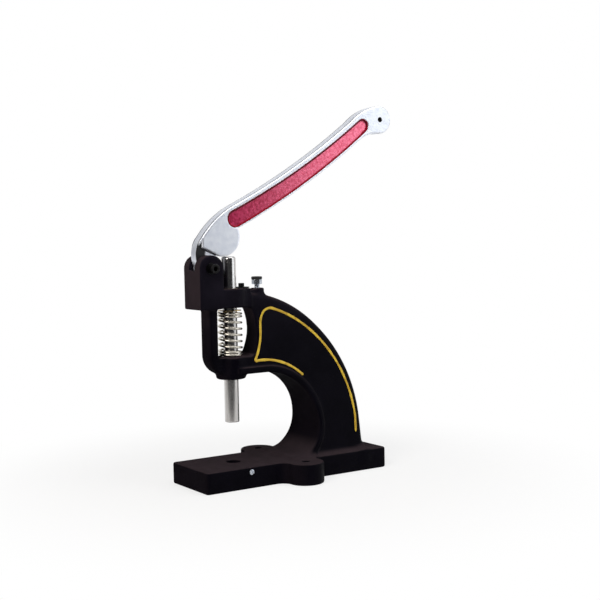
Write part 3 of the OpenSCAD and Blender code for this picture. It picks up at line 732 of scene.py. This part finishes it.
def make_casting():
    axes = grid(CASTING_LOW, CASTING_HIGH, CASTING_STEP)
    x, y, z = axes
    body = either(arm_field(x, y, z), column_field(x, y, z), BOSS_FILLET)
    body = either(body, head_field(x, y, z), HEAD_FILLET)
    stop_boss, stop_rib = stop_field(x, y, z)
    body = either(body, stop_boss, STOP_BOSS_FILLET)
    body = either(body, stop_rib, STOP_RIB_FILLET)
    body = cut(body, window_field(x, z), WINDOW_EDGE_R)
    body = cut(body, slot_field(x, y, z), SLOT_EDGE_R)
    boss = disc(x, y, 0, 0, BOSS_R)
    boss = both(boss, slab(z, LOWER_BUSH_LOW[2], LOWER_BUSH_HIGH[2]), BOSS_EDGE_R)
    body = either(body, boss, BOSS_FILLET)
    foot_back = np.clip((x - ARM_BACK_X + FOOT_BACK_RUN) / FOOT_BACK_RUN, 0, 1)
    foot_fillet = FOOT_FILLET + (FOOT_BACK_FILLET - FOOT_FILLET) * foot_back
    body = either(body, base_field(x, y, z), foot_fillet)
    bush_r = (UPPER_BUSH_HIGH[0] - UPPER_BUSH_LOW[0]) / 2 + BUSH_CLEAR
    body = cut(body, np.maximum(disc(x, y, 0, 0, bush_r), LOWER_BUSH_LOW[2] - BOSS_R - z), BUSH_CLEAR)
    body = cut(body, np.maximum(disc(x, y, 0, 0, DIE_HOLE_R), z - BASE_H - DIE_HOLE_R), HOLE_EDGE_R)
    body = cut(body, disc(x, np.abs(y), LUG_X, LUG_Y, LUG_HOLE_R), HOLE_EDGE_R)
    die_z = middle(DIE_LOW, DIE_HIGH)[2]
    die_r = (DIE_HIGH[2] - DIE_LOW[2]) / 2 + BUSH_CLEAR
    body = cut(body, np.maximum(disc(x, z, 0, die_z, die_r), y), HOLE_EDGE_R)
    field_piece("press_casting", body, axes, "frame", PAINT, ["frame_casting"])


# The lever and its enamel panels

def arc(p, q, bow):
    """Points from p to q on an arc that bows out on the right of the way."""
    chord = np.linalg.norm(q - p)
    way = (q - p) / chord
    side = np.array([way[1], -way[0]])
    r = (chord * chord / 4 + bow * bow) / (2 * bow)
    mid = (p + q) / 2 + side * (bow - r)
    half = math.copysign(math.atan2(chord / 2, abs(r) - abs(bow)), bow)
    turn = np.linspace(-half, half, ARC_STEPS + 1)[:, None]
    return mid + r * (side * np.cos(turn) + way * np.sin(turn))


def beside(t0, t1, off0, off1):
    """Points beside the bar's middle line, which runs from 0 at the root to 1 at the neck."""
    share = np.linspace(0, 1, ARC_STEPS + 1)[:, None]
    turn = BAR_A + BAR_TURN * (2 * (t0 + (t1 - t0) * share) - 1)
    r = BAR_R - off0 - (off1 - off0) * share
    return BAR_MID + r * np.hstack([np.sin(turn), -np.cos(turn)])


def bow_of(p, q, turn):
    """Bow of the arc from p to q that turns by that angle."""
    return np.linalg.norm(q - p) / 2 * math.tan(turn / 4)



def cheek_outline():
    top = beside(0, 1, BAR_ROOT_HALF, BAR_TIP_HALF)
    low = beside(0, 1, -BAR_ROOT_HALF, -BAR_TIP_HALF)
    rise = top[0] - HEEL_FRONT
    heel_turn = 2 * (math.atan2(rise[1], rise[0]) - BAR_A + BAR_TURN)
    heel = arc(HEEL_FRONT, top[0], -bow_of(HEEL_FRONT, top[0], heel_turn))
    over = np.array([0, HANDLE_R])
    tip_turn = BAR_A + BAR_TURN
    neck_top = arc(top[-1], HANDLE + over, -bow_of(top[-1], HANDLE + over, tip_turn))
    neck_low = arc(low[-1], HANDLE - over, -bow_of(low[-1], HANDLE - over, tip_turn))
    end = arc(HANDLE + over, HANDLE - over, -HANDLE_R)
    lobe_turn = np.linspace(BAR_A - BAR_TURN, STEP_A - math.pi / 2 - 2 * STEP_A, ARC_STEPS)[:, None]
    lobe = LOBE + LOBE_R * np.hstack([np.cos(lobe_turn), np.sin(lobe_turn)])
    return np.vstack([heel, top[1:], neck_top[1:], end[1:], neck_low[::-1][1:], low[::-1][1:], lobe,
                      STEP_FRONT])


def tongue_outline():
    side = EYE_R * np.array([math.cos(TONGUE_A), -math.sin(TONGUE_A)])
    return np.vstack([arc(-side, HEEL_FRONT, -TONGUE_BOW), LOBE, STEP_BACK, side])


def panel_outline():
    t0 = -PANEL_ROOT_OVER / BAR_LEN
    t1 = 1 + PANEL_TIP_OVER / BAR_LEN
    top = beside(t0, t1, PANEL_ROOT_HALF - PANEL_DROP, PANEL_TIP_HALF - PANEL_DROP)
    low = beside(t0, t1, -PANEL_ROOT_HALF - PANEL_DROP, -PANEL_TIP_HALF - PANEL_DROP)
    tip = arc(top[-1], low[-1], -PANEL_TIP_HALF)
    root = arc(low[0], top[0], -PANEL_ROOT_HALF)
    return np.vstack([top, tip[1:], low[::-1][1:], root[1:-1]])


def make_lever():
    axes = grid(LEVER_LOW, LEVER_HIGH, LEVER_STEP)
    x, y, z = axes
    along, up = x - PIVOT[0], z - PIVOT[2]
    cheek = both(polygon(cheek_outline(), along, up), np.abs(y) - LEVER_HALF, LEVER_EDGE_R)
    tongue = np.minimum(polygon(tongue_outline(), along, up), np.hypot(along, up) - EYE_R)
    body = np.minimum(cheek, both(tongue, np.abs(y) - TONGUE_HALF, RECESS_EDGE_R))
    flare = np.clip((up - LIP_LOW) / (HEEL_FRONT[1] - LIP_LOW), 0, 1)
    lip_half = TONGUE_HALF + (LEVER_HALF - TONGUE_HALF) * flare
    lip = both(np.maximum(tongue, -tongue - LIP_W), np.abs(y) - lip_half, RECESS_EDGE_R)
    body = np.minimum(body, np.maximum(lip, LIP_LOW - up))
    recess = np.maximum(polygon(panel_outline(), along, up), LEVER_HALF - RECESS_DEPTH - np.abs(y))
    body = cut(body, recess, RECESS_EDGE_R)
    body = cut(body, disc(along, up, HANDLE[0], HANDLE[1], HANDLE_HOLE_R), HOLE_EDGE_R)
    eye_bush_low, eye_bush_high = node_box("lever_bush")
    body = cut(body, np.hypot(along, up) - (eye_bush_high[2] - eye_bush_low[2]) / 2)
    field_piece("lever_casting", body, axes, "lever_arm", ALUMINIUM, ["lever"])


def make_panel(side):
    """Enamel in the recess: a flat floor that climbs the walls all round."""
    word = "near" if side < 0 else "far"
    node = "lever_panel_" + word
    low, high = node_box(node)
    reach = np.array([0, ENAMEL_WALL_H, 0])
    axes = grid(low - reach, high + reach, PANEL_STEP)
    x, y, z = axes
    tip_x = panel_outline()[:, 0].max()
    outline = polygon(panel_outline(), x - PIVOT[0], z - PIVOT[2])
    # Painted shadow: near the tip the dark wall runs wider, where the recess's edge casts shade
    near_tip = np.clip(1 - (tip_x - x + PIVOT[0]) / ENAMEL_TIP_LEN, 0, 1)
    run = ENAMEL_WALL_RUN + (ENAMEL_TIP_RUN - ENAMEL_WALL_RUN) * near_tip
    climb = np.clip(1 + outline / run, 0, 1)
    level = ENAMEL_FLOOR + ENAMEL_WALL_H * climb ** ENAMEL_WALL_POWER
    slope = math.cos(math.atan2(ENAMEL_WALL_H, ENAMEL_WALL_RUN))
    out = np.abs(y)
    shell = np.maximum((out - level) * np.where(climb > 0, slope, 1), LEVER_HALF - RECESS_DEPTH - out)
    field = both(outline, np.maximum(shell, -side * y), ENAMEL_EDGE_R)
    field_piece("enamel_panel_" + word, field, axes, "lever_arm", ENAMEL, [node])


# The return spring

def make_spring():
    wire_r = 1.25
    outer_r = 13.5
    coils = 8.5
    end_coils = 1.5
    end_gap = 0.5
    start = math.radians(-33)
    rings_per_coil = 56
    sides = 16
    mid_r = outer_r - wire_r
    low_z, high_z = SPRING_LOW[2], SPRING_HIGH[2]
    end_h = end_coils * (2 * wire_r + end_gap)
    count = int(coils * rings_per_coil) + 1
    turns = np.linspace(0, coils, count)
    rise = np.interp(turns, [0, end_coils, coils - end_coils, coils],
                     [low_z + wire_r, low_z + wire_r + end_h, high_z - wire_r - end_h, high_z - wire_r])
    section = np.linspace(0, 2 * math.pi, sides, endpoint=False)
    angle = start - 2 * math.pi * turns[:, None]
    r = mid_r + wire_r * np.cos(section)[None, :]
    points = np.stack([r * np.cos(angle), r * np.sin(angle),
                       rise[:, None] + wire_r * np.sin(section)[None, :]], axis=2)
    faces = []
    for ring in range(count - 1):
        for k in range(sides):
            a, b = ring * sides + k, ring * sides + (k + 1) % sides
            faces.append((a, b, b + sides, a + sides))
    faces.append(tuple(range(sides))[::-1])
    faces.append(tuple(range((count - 1) * sides, count * sides)))
    spring = new_piece("return_spring", points.reshape(-1, 3), faces, "frame", SPRING_STEEL,
                       ["ram_spring"])
    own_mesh(spring)


# Screws, the stop's pad and the ram

def make_pivot_screw():
    """Cap screw through the clevis: socket head on the near side, thread past the far ear."""
    head_h, shank_r, socket = 9.0, 3.0, 5.0
    edge_r, socket_edge_r = 0.6, 0.25
    pitch, depth = 1.0, 0.5
    axes = grid(PIVOT_LOW, PIVOT_HIGH, BOLT_STEP)
    x, y, z = axes
    u, v = x - PIVOT[0], z - PIVOT[2]
    head_r = (PIVOT_HIGH[0] - PIVOT_LOW[0]) / 2
    low, high = PIVOT_LOW[1], PIVOT_HIGH[1]
    head = both(np.hypot(u, v) - head_r, slab(y, low, low + head_h), edge_r)
    bar = np.where(y > HEAD_HALF, thread(u, v, y, shank_r, pitch, depth), np.hypot(u, v) - shank_r)
    body = np.minimum(head, both(bar, slab(y, low + head_h / 2, high), edge_r))
    body = cut(body, np.maximum(hexagon(u, v, socket), y - low - head_h / 2), socket_edge_r)
    field_piece("pivot_cap_screw", body, axes, "frame", BLACK_STEEL, ["pivot_bolt"])


def make_pivot_nut():
    across, bore_r, chamfer = 10.0, 3.02, 0.35
    axes = grid(NUT_LOW, NUT_HIGH, BOLT_STEP)
    x, y, z = axes
    u, v = x - PIVOT[0], z - PIVOT[2]
    body = hex_head(u, v, y, NUT_LOW[1], NUT_HIGH[1], across, chamfer)
    body = cut(body, np.hypot(u, v) - bore_r, chamfer)
    field_piece("pivot_hex_nut", body, axes, "frame", BLACK_STEEL, ["pivot_nut"])


def make_stop_bolt():
    """Hexagon bolt screwed into its boss, thread showing under the head."""
    across, head_h, shank_r, edge_r = 10.0, 5.5, 3.0, 0.3
    pitch, depth = 1.0, 0.55
    axes = grid(STOP_LOW, STOP_HIGH, BOLT_STEP)
    x, y, z = axes
    mid = middle(STOP_LOW, STOP_HIGH)
    u, v = x - mid[0], y - mid[1]
    low, top = STOP_LOW[2], STOP_HIGH[2]
    head = hex_head(v, u, z, top - head_h, top, across, edge_r)
    shank = both(thread(u, v, z, shank_r, pitch, depth), slab(z, low, top - head_h / 2), edge_r)
    body = np.minimum(head, shank)
    field_piece("stop_hex_bolt", body, axes, "stop", ZINC, ["stop_bolt"])


def make_stop_pad():
    """Rubber pad on the stop bolt's head, a little domed."""
    dome, edge_r = 0.25, 0.8
    axes = grid(PAD_LOW, PAD_HIGH, BOLT_STEP)
    x, y, z = axes
    mid = middle(PAD_LOW, PAD_HIGH)
    out = np.hypot(x - mid[0], y - mid[1])
    pad_r = (PAD_HIGH[0] - PAD_LOW[0]) / 2
    fall = dome * (out / pad_r) ** 2
    body = both(out - pad_r, slab(z + fall, PAD_LOW[2], PAD_HIGH[2]), edge_r)
    field_piece("stop_rubber_pad", body, axes, "stop", RUBBER, ["stop_pad"])


def make_keeper_screw():
    """Cap screw that holds the keeper plate down on the head."""
    head_h, shank_r, socket, socket_depth = 4.0, 2.0, 3.0, 2.0
    head_edge_r, shank_edge_r, socket_edge_r = 0.5, 0.3, 0.2
    pitch, depth = 0.7, 0.35
    axes = grid(CAP_LOW, CAP_HIGH, SCREW_STEP)
    x, y, z = axes
    mid = middle(CAP_LOW, CAP_HIGH)
    u, v = x - mid[0], y - mid[1]
    head_r = (CAP_HIGH[0] - CAP_LOW[0]) / 2
    low, top = CAP_LOW[2], CAP_HIGH[2]
    head = both(np.hypot(u, v) - head_r, slab(z, top - head_h, top), head_edge_r)
    shank = both(thread(u, v, z, shank_r, pitch, depth), slab(z, low, top - head_h / 2), shank_edge_r)
    body = np.minimum(head, shank)
    body = cut(body, np.maximum(hexagon(u, v, socket), top - socket_depth - z), socket_edge_r)
    field_piece("keeper_cap_screw", body, axes, "frame", BLACK_STEEL, ["keeper_screw"])


def make_die_screw():
    """Slotted grub screw whose domed end stands out of the base's near side."""
    slot_w, slot_depth, slot_edge_r = 1.0, 1.4, 0.15
    dome, edge_r = 0.5, 0.4
    pitch, depth = 1.0, 0.5
    tilt = math.radians(35)
    axes = grid(DIE_LOW, DIE_HIGH, SCREW_STEP)
    x, y, z = axes
    mid = middle(DIE_LOW, DIE_HIGH)
    u, v = x - mid[0], z - mid[2]
    r = (DIE_HIGH[0] - DIE_LOW[0]) / 2
    rod = np.where(y > -BASE_W / 2, thread(u, v, y, r, pitch, depth), np.hypot(u, v) - r)
    fall = dome * (np.hypot(u, v) / r) ** 2
    body = both(rod, slab(y - fall, DIE_LOW[1], DIE_HIGH[1]), edge_r)
    body = np.maximum(body, y - DIE_HIGH[1])
    slot = np.abs(u * math.cos(tilt) + v * math.sin(tilt)) - slot_w / 2
    body = cut(body, np.maximum(slot, y - DIE_LOW[1] - slot_depth), slot_edge_r)
    field_piece("die_grub_screw", body, axes, "die_screw", ZINC, ["die_clamp_screw"])


def make_ram():
    """Polished bar with rounded ends, the keeper's flat, the pin's bore and the punch's socket."""
    top_edge_r, low_edge_r, hole_edge_r = 2.6, 0.8, 0.3
    socket_r, socket_h, screw_rise, screw_r = 5.0, 18.0, 9.0, 2.05
    axes = grid(RAM_LOW, RAM_HIGH, RAM_STEP)
    x, y, z = axes
    ram_r = (RAM_HIGH[0] - RAM_LOW[0]) / 2
    low, top = RAM_LOW[2], RAM_HIGH[2]
    bar = np.hypot(x, y) - ram_r
    body = np.where(z > (low + top) / 2, both(bar, z - top, top_edge_r), both(bar, low - z, low_edge_r))
    body = cut(body, np.maximum(np.hypot(x, y) - socket_r, z - low - socket_h), hole_edge_r)
    body = cut(body, np.maximum(disc(x, z, 0, low + screw_rise, screw_r), -y), hole_edge_r)
    pin_low, pin_high = node_box("ram_cross_pin")
    body = cut(body, disc(x, z, 0, middle(pin_low, pin_high)[2], (pin_high[2] - pin_low[2]) / 2))
    key_top = KEEPER_HIGH[2] + RAM_TRAVEL + KEY_END_GAP
    key = np.maximum(np.abs(y) - KEY_HALF, slab(z, KEEPER_LOW[2] - KEY_END_GAP, key_top))
    body = cut(body, np.maximum(key, KEY_X - x), hole_edge_r)
    field_piece("press_ram", body, axes, "ram_bar", RAM_STEEL, ["ram"])


def dress_nodes():
    """Finishes for the CAD nodes that stay as they are."""
    finishes = {
        "spring_washer": BRASS,
        "ram_cross_pin": PIN_STEEL,
        "punch_clamp_screw": BLACK_STEEL,
        "upper_guide_bush": BRONZE,
        "lower_guide_bush": BRONZE,
        "ram_keeper_plate": BLACK_STEEL,
        "pivot_washers": BLACK_STEEL,
        "lever_bush": BRONZE,
    }
    for name, material in finishes.items():
        mesh = frame["nodes"][name].data
        mesh.materials.clear()
        mesh.materials.append(material)


# The painted pinstripe

def smooth_run(points):
    """A smooth curve through given points, in even steps."""
    points = np.array(points, float)
    padded = np.vstack([2 * points[0] - points[1], points, 2 * points[-1] - points[-2]])
    run = []
    for a, b, c, d in zip(padded, padded[1:], padded[2:], padded[3:]):
        count = max(2, int(np.linalg.norm(c - b) / STRIPE_SEGMENT))
        for t in np.linspace(0, 1, count, endpoint=False):
            run.append(0.5 * (2 * b + (c - a) * t + (2 * a - 5 * b + 4 * c - d) * t ** 2
                              + (3 * b - a - 3 * c + d) * t ** 3))
    return np.vstack(run + [points[-1]])


def ring_run(mid, radii, angles):
    """Points round a centre, from one radius and angle to another."""
    turn = np.radians(np.linspace(*angles, STRIPE_RING_STEPS))[:, None]
    r = np.linspace(*radii, STRIPE_RING_STEPS)[:, None]
    return np.array(mid) + r * np.hstack([np.cos(turn), np.sin(turn)])


def even_run(points):
    """The same curve with points at even steps."""
    lengths = np.concatenate([[0], np.cumsum(np.linalg.norm(np.diff(points, axis=0), axis=1))])
    at = np.linspace(0, lengths[-1], int(lengths[-1] / STRIPE_SEGMENT) + 2)
    return np.stack([np.interp(at, lengths, points[:, k]) for k in range(2)], axis=1)


def stripe_runs():
    """The stripe's two lines: up the front, over the arm's back and down, and along the throat."""
    front = [(21.3, 133.2), (27.2, 144.5), (31.4, 159.0), (32.8, 176.5), (36.0, 185.2),
             (41.0, 189.0), (46.5, 189.8)]
    back_radii, back_angles = (136.3, 141.2), (71.5, 1)
    foot = (144.6, 43.5)
    throat_radii, throat_angles = (74.4, 70.8), (100.6, 48.5)
    back = ring_run((ARM_OUTER_X, ARM_MID_Z), back_radii, back_angles)
    throat = ring_run((THROAT_X - THROAT_TOP_R, ARM_MID_Z), throat_radii, throat_angles)
    return [np.vstack([smooth_run(front), back, foot]), throat]


def make_stripe(side):
    """A hand-painted line, a little uneven, domed across and closed underneath."""
    across = np.array([-1, -0.8, -0.4, 0, 0.4, 0.8, 1])
    columns = len(across)
    rounded = np.where(np.abs(across) == 1, -STRIPE_SINK / 3, STRIPE_RISE * (1 - across ** 2))
    layers = [(across, rounded), (across[[0, -1]], (-STRIPE_SINK, -STRIPE_SINK))]
    least_end = 0.05
    points, faces = [], []
    for run in stripe_runs():
        run = even_run(run)
        way = np.gradient(run, axis=0)
        way /= np.linalg.norm(way, axis=1)[:, None]
        normal = np.stack([-way[:, 1], way[:, 0]], axis=1)
        at = np.arange(len(run))
        waver = 0.07 * np.sin(0.31 * at) + 0.05 * np.sin(0.83 * at + 1)
        width = STRIPE_HALF * (1 + waver)
        end = np.minimum(at, at[::-1]) * STRIPE_SEGMENT
        width *= np.sqrt(np.clip(1 - (1 - np.minimum(end / STRIPE_HALF, 1)) ** 2, least_end, 1))
        start = len(points)
        for shares, lifts in layers:
            for p, n, w in zip(run, normal, width):
                for share, lift in zip(shares, lifts):
                    u, v = p + n * w * share
                    points.append((u, side * (arm_half(v) + lift), v))

        def top(i, k):
            return start + i * columns + k

        def low(i, k):
            return start + len(run) * columns + i * 2 + k

        for i in range(len(run) - 1):
            for k in range(columns - 1):
                faces.append((top(i, k), top(i, k + 1), top(i + 1, k + 1), top(i + 1, k)))
            faces.append((low(i, 0), low(i + 1, 0), low(i + 1, 1), low(i, 1)))
            faces.append((low(i, 0), top(i, 0), top(i + 1, 0), low(i + 1, 0)))
            faces.append((top(i, columns - 1), low(i, 1), low(i + 1, 1), top(i + 1, columns - 1)))
        first = [top(0, k) for k in range(columns)]
        last = [top(len(run) - 1, k) for k in range(columns)]
        faces.append((*first[::-1], low(0, 0), low(0, 1)))
        faces.append((*last, low(len(run) - 1, 1), low(len(run) - 1, 0)))
    if side > 0:
        faces = [face[::-1] for face in faces]
    word = "near" if side < 0 else "far"
    new_piece("pinstripe_" + word, points, faces, "frame", GOLD)


# Studio: camera at the photograph's angle, pale floor, soft light, with places in metres

# The level ways from the camera to the object and to the camera's right
AWAY = (0.549, 0.836, 0.0)
ACROSS = (AWAY[1], -AWAY[0], 0.0)


def make_camera():
    yaw, pitch, roll = math.radians(-33.31), math.radians(3.61), math.radians(-1.21)
    distance, target = 1.3152, Vector((0.0918, 0, 0.1956))
    back = Vector((math.sin(yaw) * math.cos(pitch), -math.cos(yaw) * math.cos(pitch), math.sin(pitch)))
    level = Vector((math.cos(yaw), math.sin(yaw), 0))
    upright = back.cross(level)
    right = level * math.cos(roll) + upright * math.sin(roll)
    up = upright * math.cos(roll) - level * math.sin(roll)
    data = bpy.data.cameras.new("camera")
    data.sensor_fit = "HORIZONTAL"
    data.sensor_width = 36.0
    data.lens = 69.876
    data.clip_end = 20.0
    camera = bpy.data.objects.new("camera", data)
    turn = Matrix((right, up, back)).transposed().to_4x4()
    camera.matrix_world = Matrix.Translation(target + back * distance) @ turn
    bpy.context.scene.collection.objects.link(camera)
    bpy.context.scene.camera = camera


def make_world():
    """Soft light from all sides; the camera sees it white, and shiny metal does behind and above."""
    tint, strength = (0.93, 0.95, 1.0, 1), 0.04
    mirror_rise, mirror_white = 0.6, 0.62
    world = bpy.data.worlds.new("studio")
    bpy.context.scene.world = world
    sky = Shading(world)
    soft = sky.nodes["Background"]
    soft.inputs["Color"].default_value = tint
    soft.inputs["Strength"].default_value = strength
    white = sky.nodes.new("ShaderNodeBackground")
    white.inputs["Color"].default_value = (1, 1, 1, 1)
    white.inputs["Strength"].default_value = 1.0
    behind = sky.nodes.new("ShaderNodeVectorMath")
    behind.operation = "DOT_PRODUCT"
    sky.links.new(sky.nodes.new("ShaderNodeTexCoord").outputs["Generated"], behind.inputs[0])
    behind.inputs[1].default_value = (AWAY[0], AWAY[1], 1.0)
    mirror_share = sky.share(behind.outputs["Value"], 0.0, mirror_rise, 0.0, mirror_white)
    sky.show_white(1.0, mirror_share, soft, white, "World Output")


def white_stage(name, points, shares):
    """A flat piece of the stage that shows white to the camera and to shiny metal."""
    mesh = bpy.data.meshes.new(name)
    mesh.from_pydata(points, [], [(0, 1, 2, 3)])
    finish = Finish(name + "_white")
    glow = finish.nodes.new("ShaderNodeEmission")
    glow.inputs["Strength"].default_value = 1.0
    finish.show_white(*shares(finish), finish.shader, glow, "Material Output")
    mesh.materials.append(finish.constant(Base_Color=(0.95, 0.95, 0.95, 1), Roughness=0.9))
    stage = bpy.data.objects.new(name, mesh)
    bpy.context.scene.collection.objects.link(stage)


def make_stage():
    """A pale floor that keeps the shadow near the object, and a white screen behind it."""
    half_w, screen_h, floor_front, floor_back = 6.5, 2.8, -0.4, 2.4
    # Ranges in millimetres, each with the share of white at its darker end
    left_range, left_white = (-4000, -1500), 0.3
    shadow_range, shadow_white = (150, 420), 0.72
    front_range, front_white = (-100, 300), 0.1
    lofty_range, lofty_white = (1000, 2500), 0.55
    object_x = 60

    def to_left(finish):
        """Less white far to the left."""
        across = finish.distance(finish.coordinate("X"), finish.coordinate("Y"), ACROSS)
        return finish.rise(across, *left_range, left_white, 1.0)

    def floor_shares(finish):
        x, y = finish.coordinate("X", object_x), finish.coordinate("Y")
        far = finish.rise(finish.radius(x, y), *shadow_range, shadow_white, 1.0)
        depth = finish.rise(finish.distance(x, y, AWAY), *front_range, front_white, 1.0)
        return far, finish.times(finish.times(far, depth), to_left(finish))

    def screen_shares(finish):
        lofty = finish.rise(finish.coordinate("Z"), *lofty_range, 1.0, lofty_white)
        return 1.0, finish.times(lofty, to_left(finish))

    side, high = Vector(ACROSS) * half_w, Vector((0, 0, screen_h))
    front, foot = Vector(AWAY) * floor_front, Vector(AWAY) * floor_back
    left, right = foot - side, foot + side
    white_stage("floor", [front - side, front + side, right, left], floor_shares)
    white_stage("screen", [left, right, right + high, left + high], screen_shares)


def area_light(name, place, target, size, power, tint=(1, 1, 1)):
    data = bpy.data.lights.new(name, "AREA")
    data.shape = "RECTANGLE"
    data.size, data.size_y = size
    data.energy = power
    data.color = tint
    light = bpy.data.objects.new(name, data)
    light.location = place
    light.rotation_euler = (Vector(target) - Vector(place)).to_track_quat("-Z", "Y").to_euler()
    bpy.context.scene.collection.objects.link(light)


def make_lights():
    area_light("key", (-1.3, -0.72, 1.1), (0.06, 0, 0.2), (1.0, 1.1), 20, (1.0, 0.955, 0.91))
    area_light("top", (0.25, -0.45, 1.65), (0.25, -0.44, 0), (1.4, 1.7), 14)
    area_light("fill", (1.0, -0.95, 0.72), (0.15, 0, 0.33), (0.85, 1.3), 6.2, (0.94, 0.97, 1.0))


PAINT = black_paint()
ALUMINIUM = cast_aluminium()
ENAMEL = red_enamel()
# Ground and polished, with fine marks along the bar
RAM_STEEL = grained("ground_steel", ((0.54, 0.525, 0.515), (0.63, 0.615, 0.605)), (500, 3, (1, 1, 0.06)),
                    (60, 3, (1, 1, 0.3)), (0.16, 0.24), 0.000004, Metallic=1.0)
# Bright drawn wire with a warm nickel tone
SPRING_STEEL = grained("spring_wire", ((0.52, 0.485, 0.42), (0.66, 0.63, 0.56)), (300, 3),
                       (700, 3), (0.14, 0.28), 0.00001, Metallic=1.0)
# Hand-brushed, thicker and thinner along the line
GOLD = grained("gold_paint", ((0.50, 0.30, 0.012), (0.72, 0.50, 0.035)), (160, 4),
               (500, 3), (0.35, 0.5), 0.00012, bump_on_polish=True, Specular_IOR_Level=0.4)
RUBBER = grained("pad_rubber", ((0.006, 0.006, 0.0065), (0.013, 0.013, 0.014)), (900, 3),
                 (500, 3), (0.5, 0.68), 0.00006, Specular_IOR_Level=0.35)
BLACK_STEEL = plain_metal("black_oxide", (0.012, 0.012, 0.013), (0.035, 0.034, 0.034), 0.32, 0.48)
ZINC = plain_metal("zinc_plate", (0.40, 0.44, 0.50), (0.56, 0.60, 0.66), 0.2, 0.34)
PIN_STEEL = plain_metal("pin_steel", (0.40, 0.39, 0.38), (0.56, 0.55, 0.53), 0.2, 0.34)
BRASS = plain_metal("brass", (0.50, 0.36, 0.15), (0.66, 0.50, 0.25), 0.22, 0.36)
BRONZE = plain_metal("oiled_bronze", (0.11, 0.075, 0.04), (0.19, 0.13, 0.07), 0.34, 0.5)

make_casting()
make_lever()
make_panel(-1)
make_panel(1)
make_spring()
make_pivot_screw()
make_pivot_nut()
make_stop_bolt()
make_stop_pad()
make_keeper_screw()
make_die_screw()
make_ram()
make_stripe(-1)
make_stripe(1)
dress_nodes()
make_camera()
make_world()
make_stage()
make_lights()
bpy.context.scene.view_settings.view_transform = "Standard"
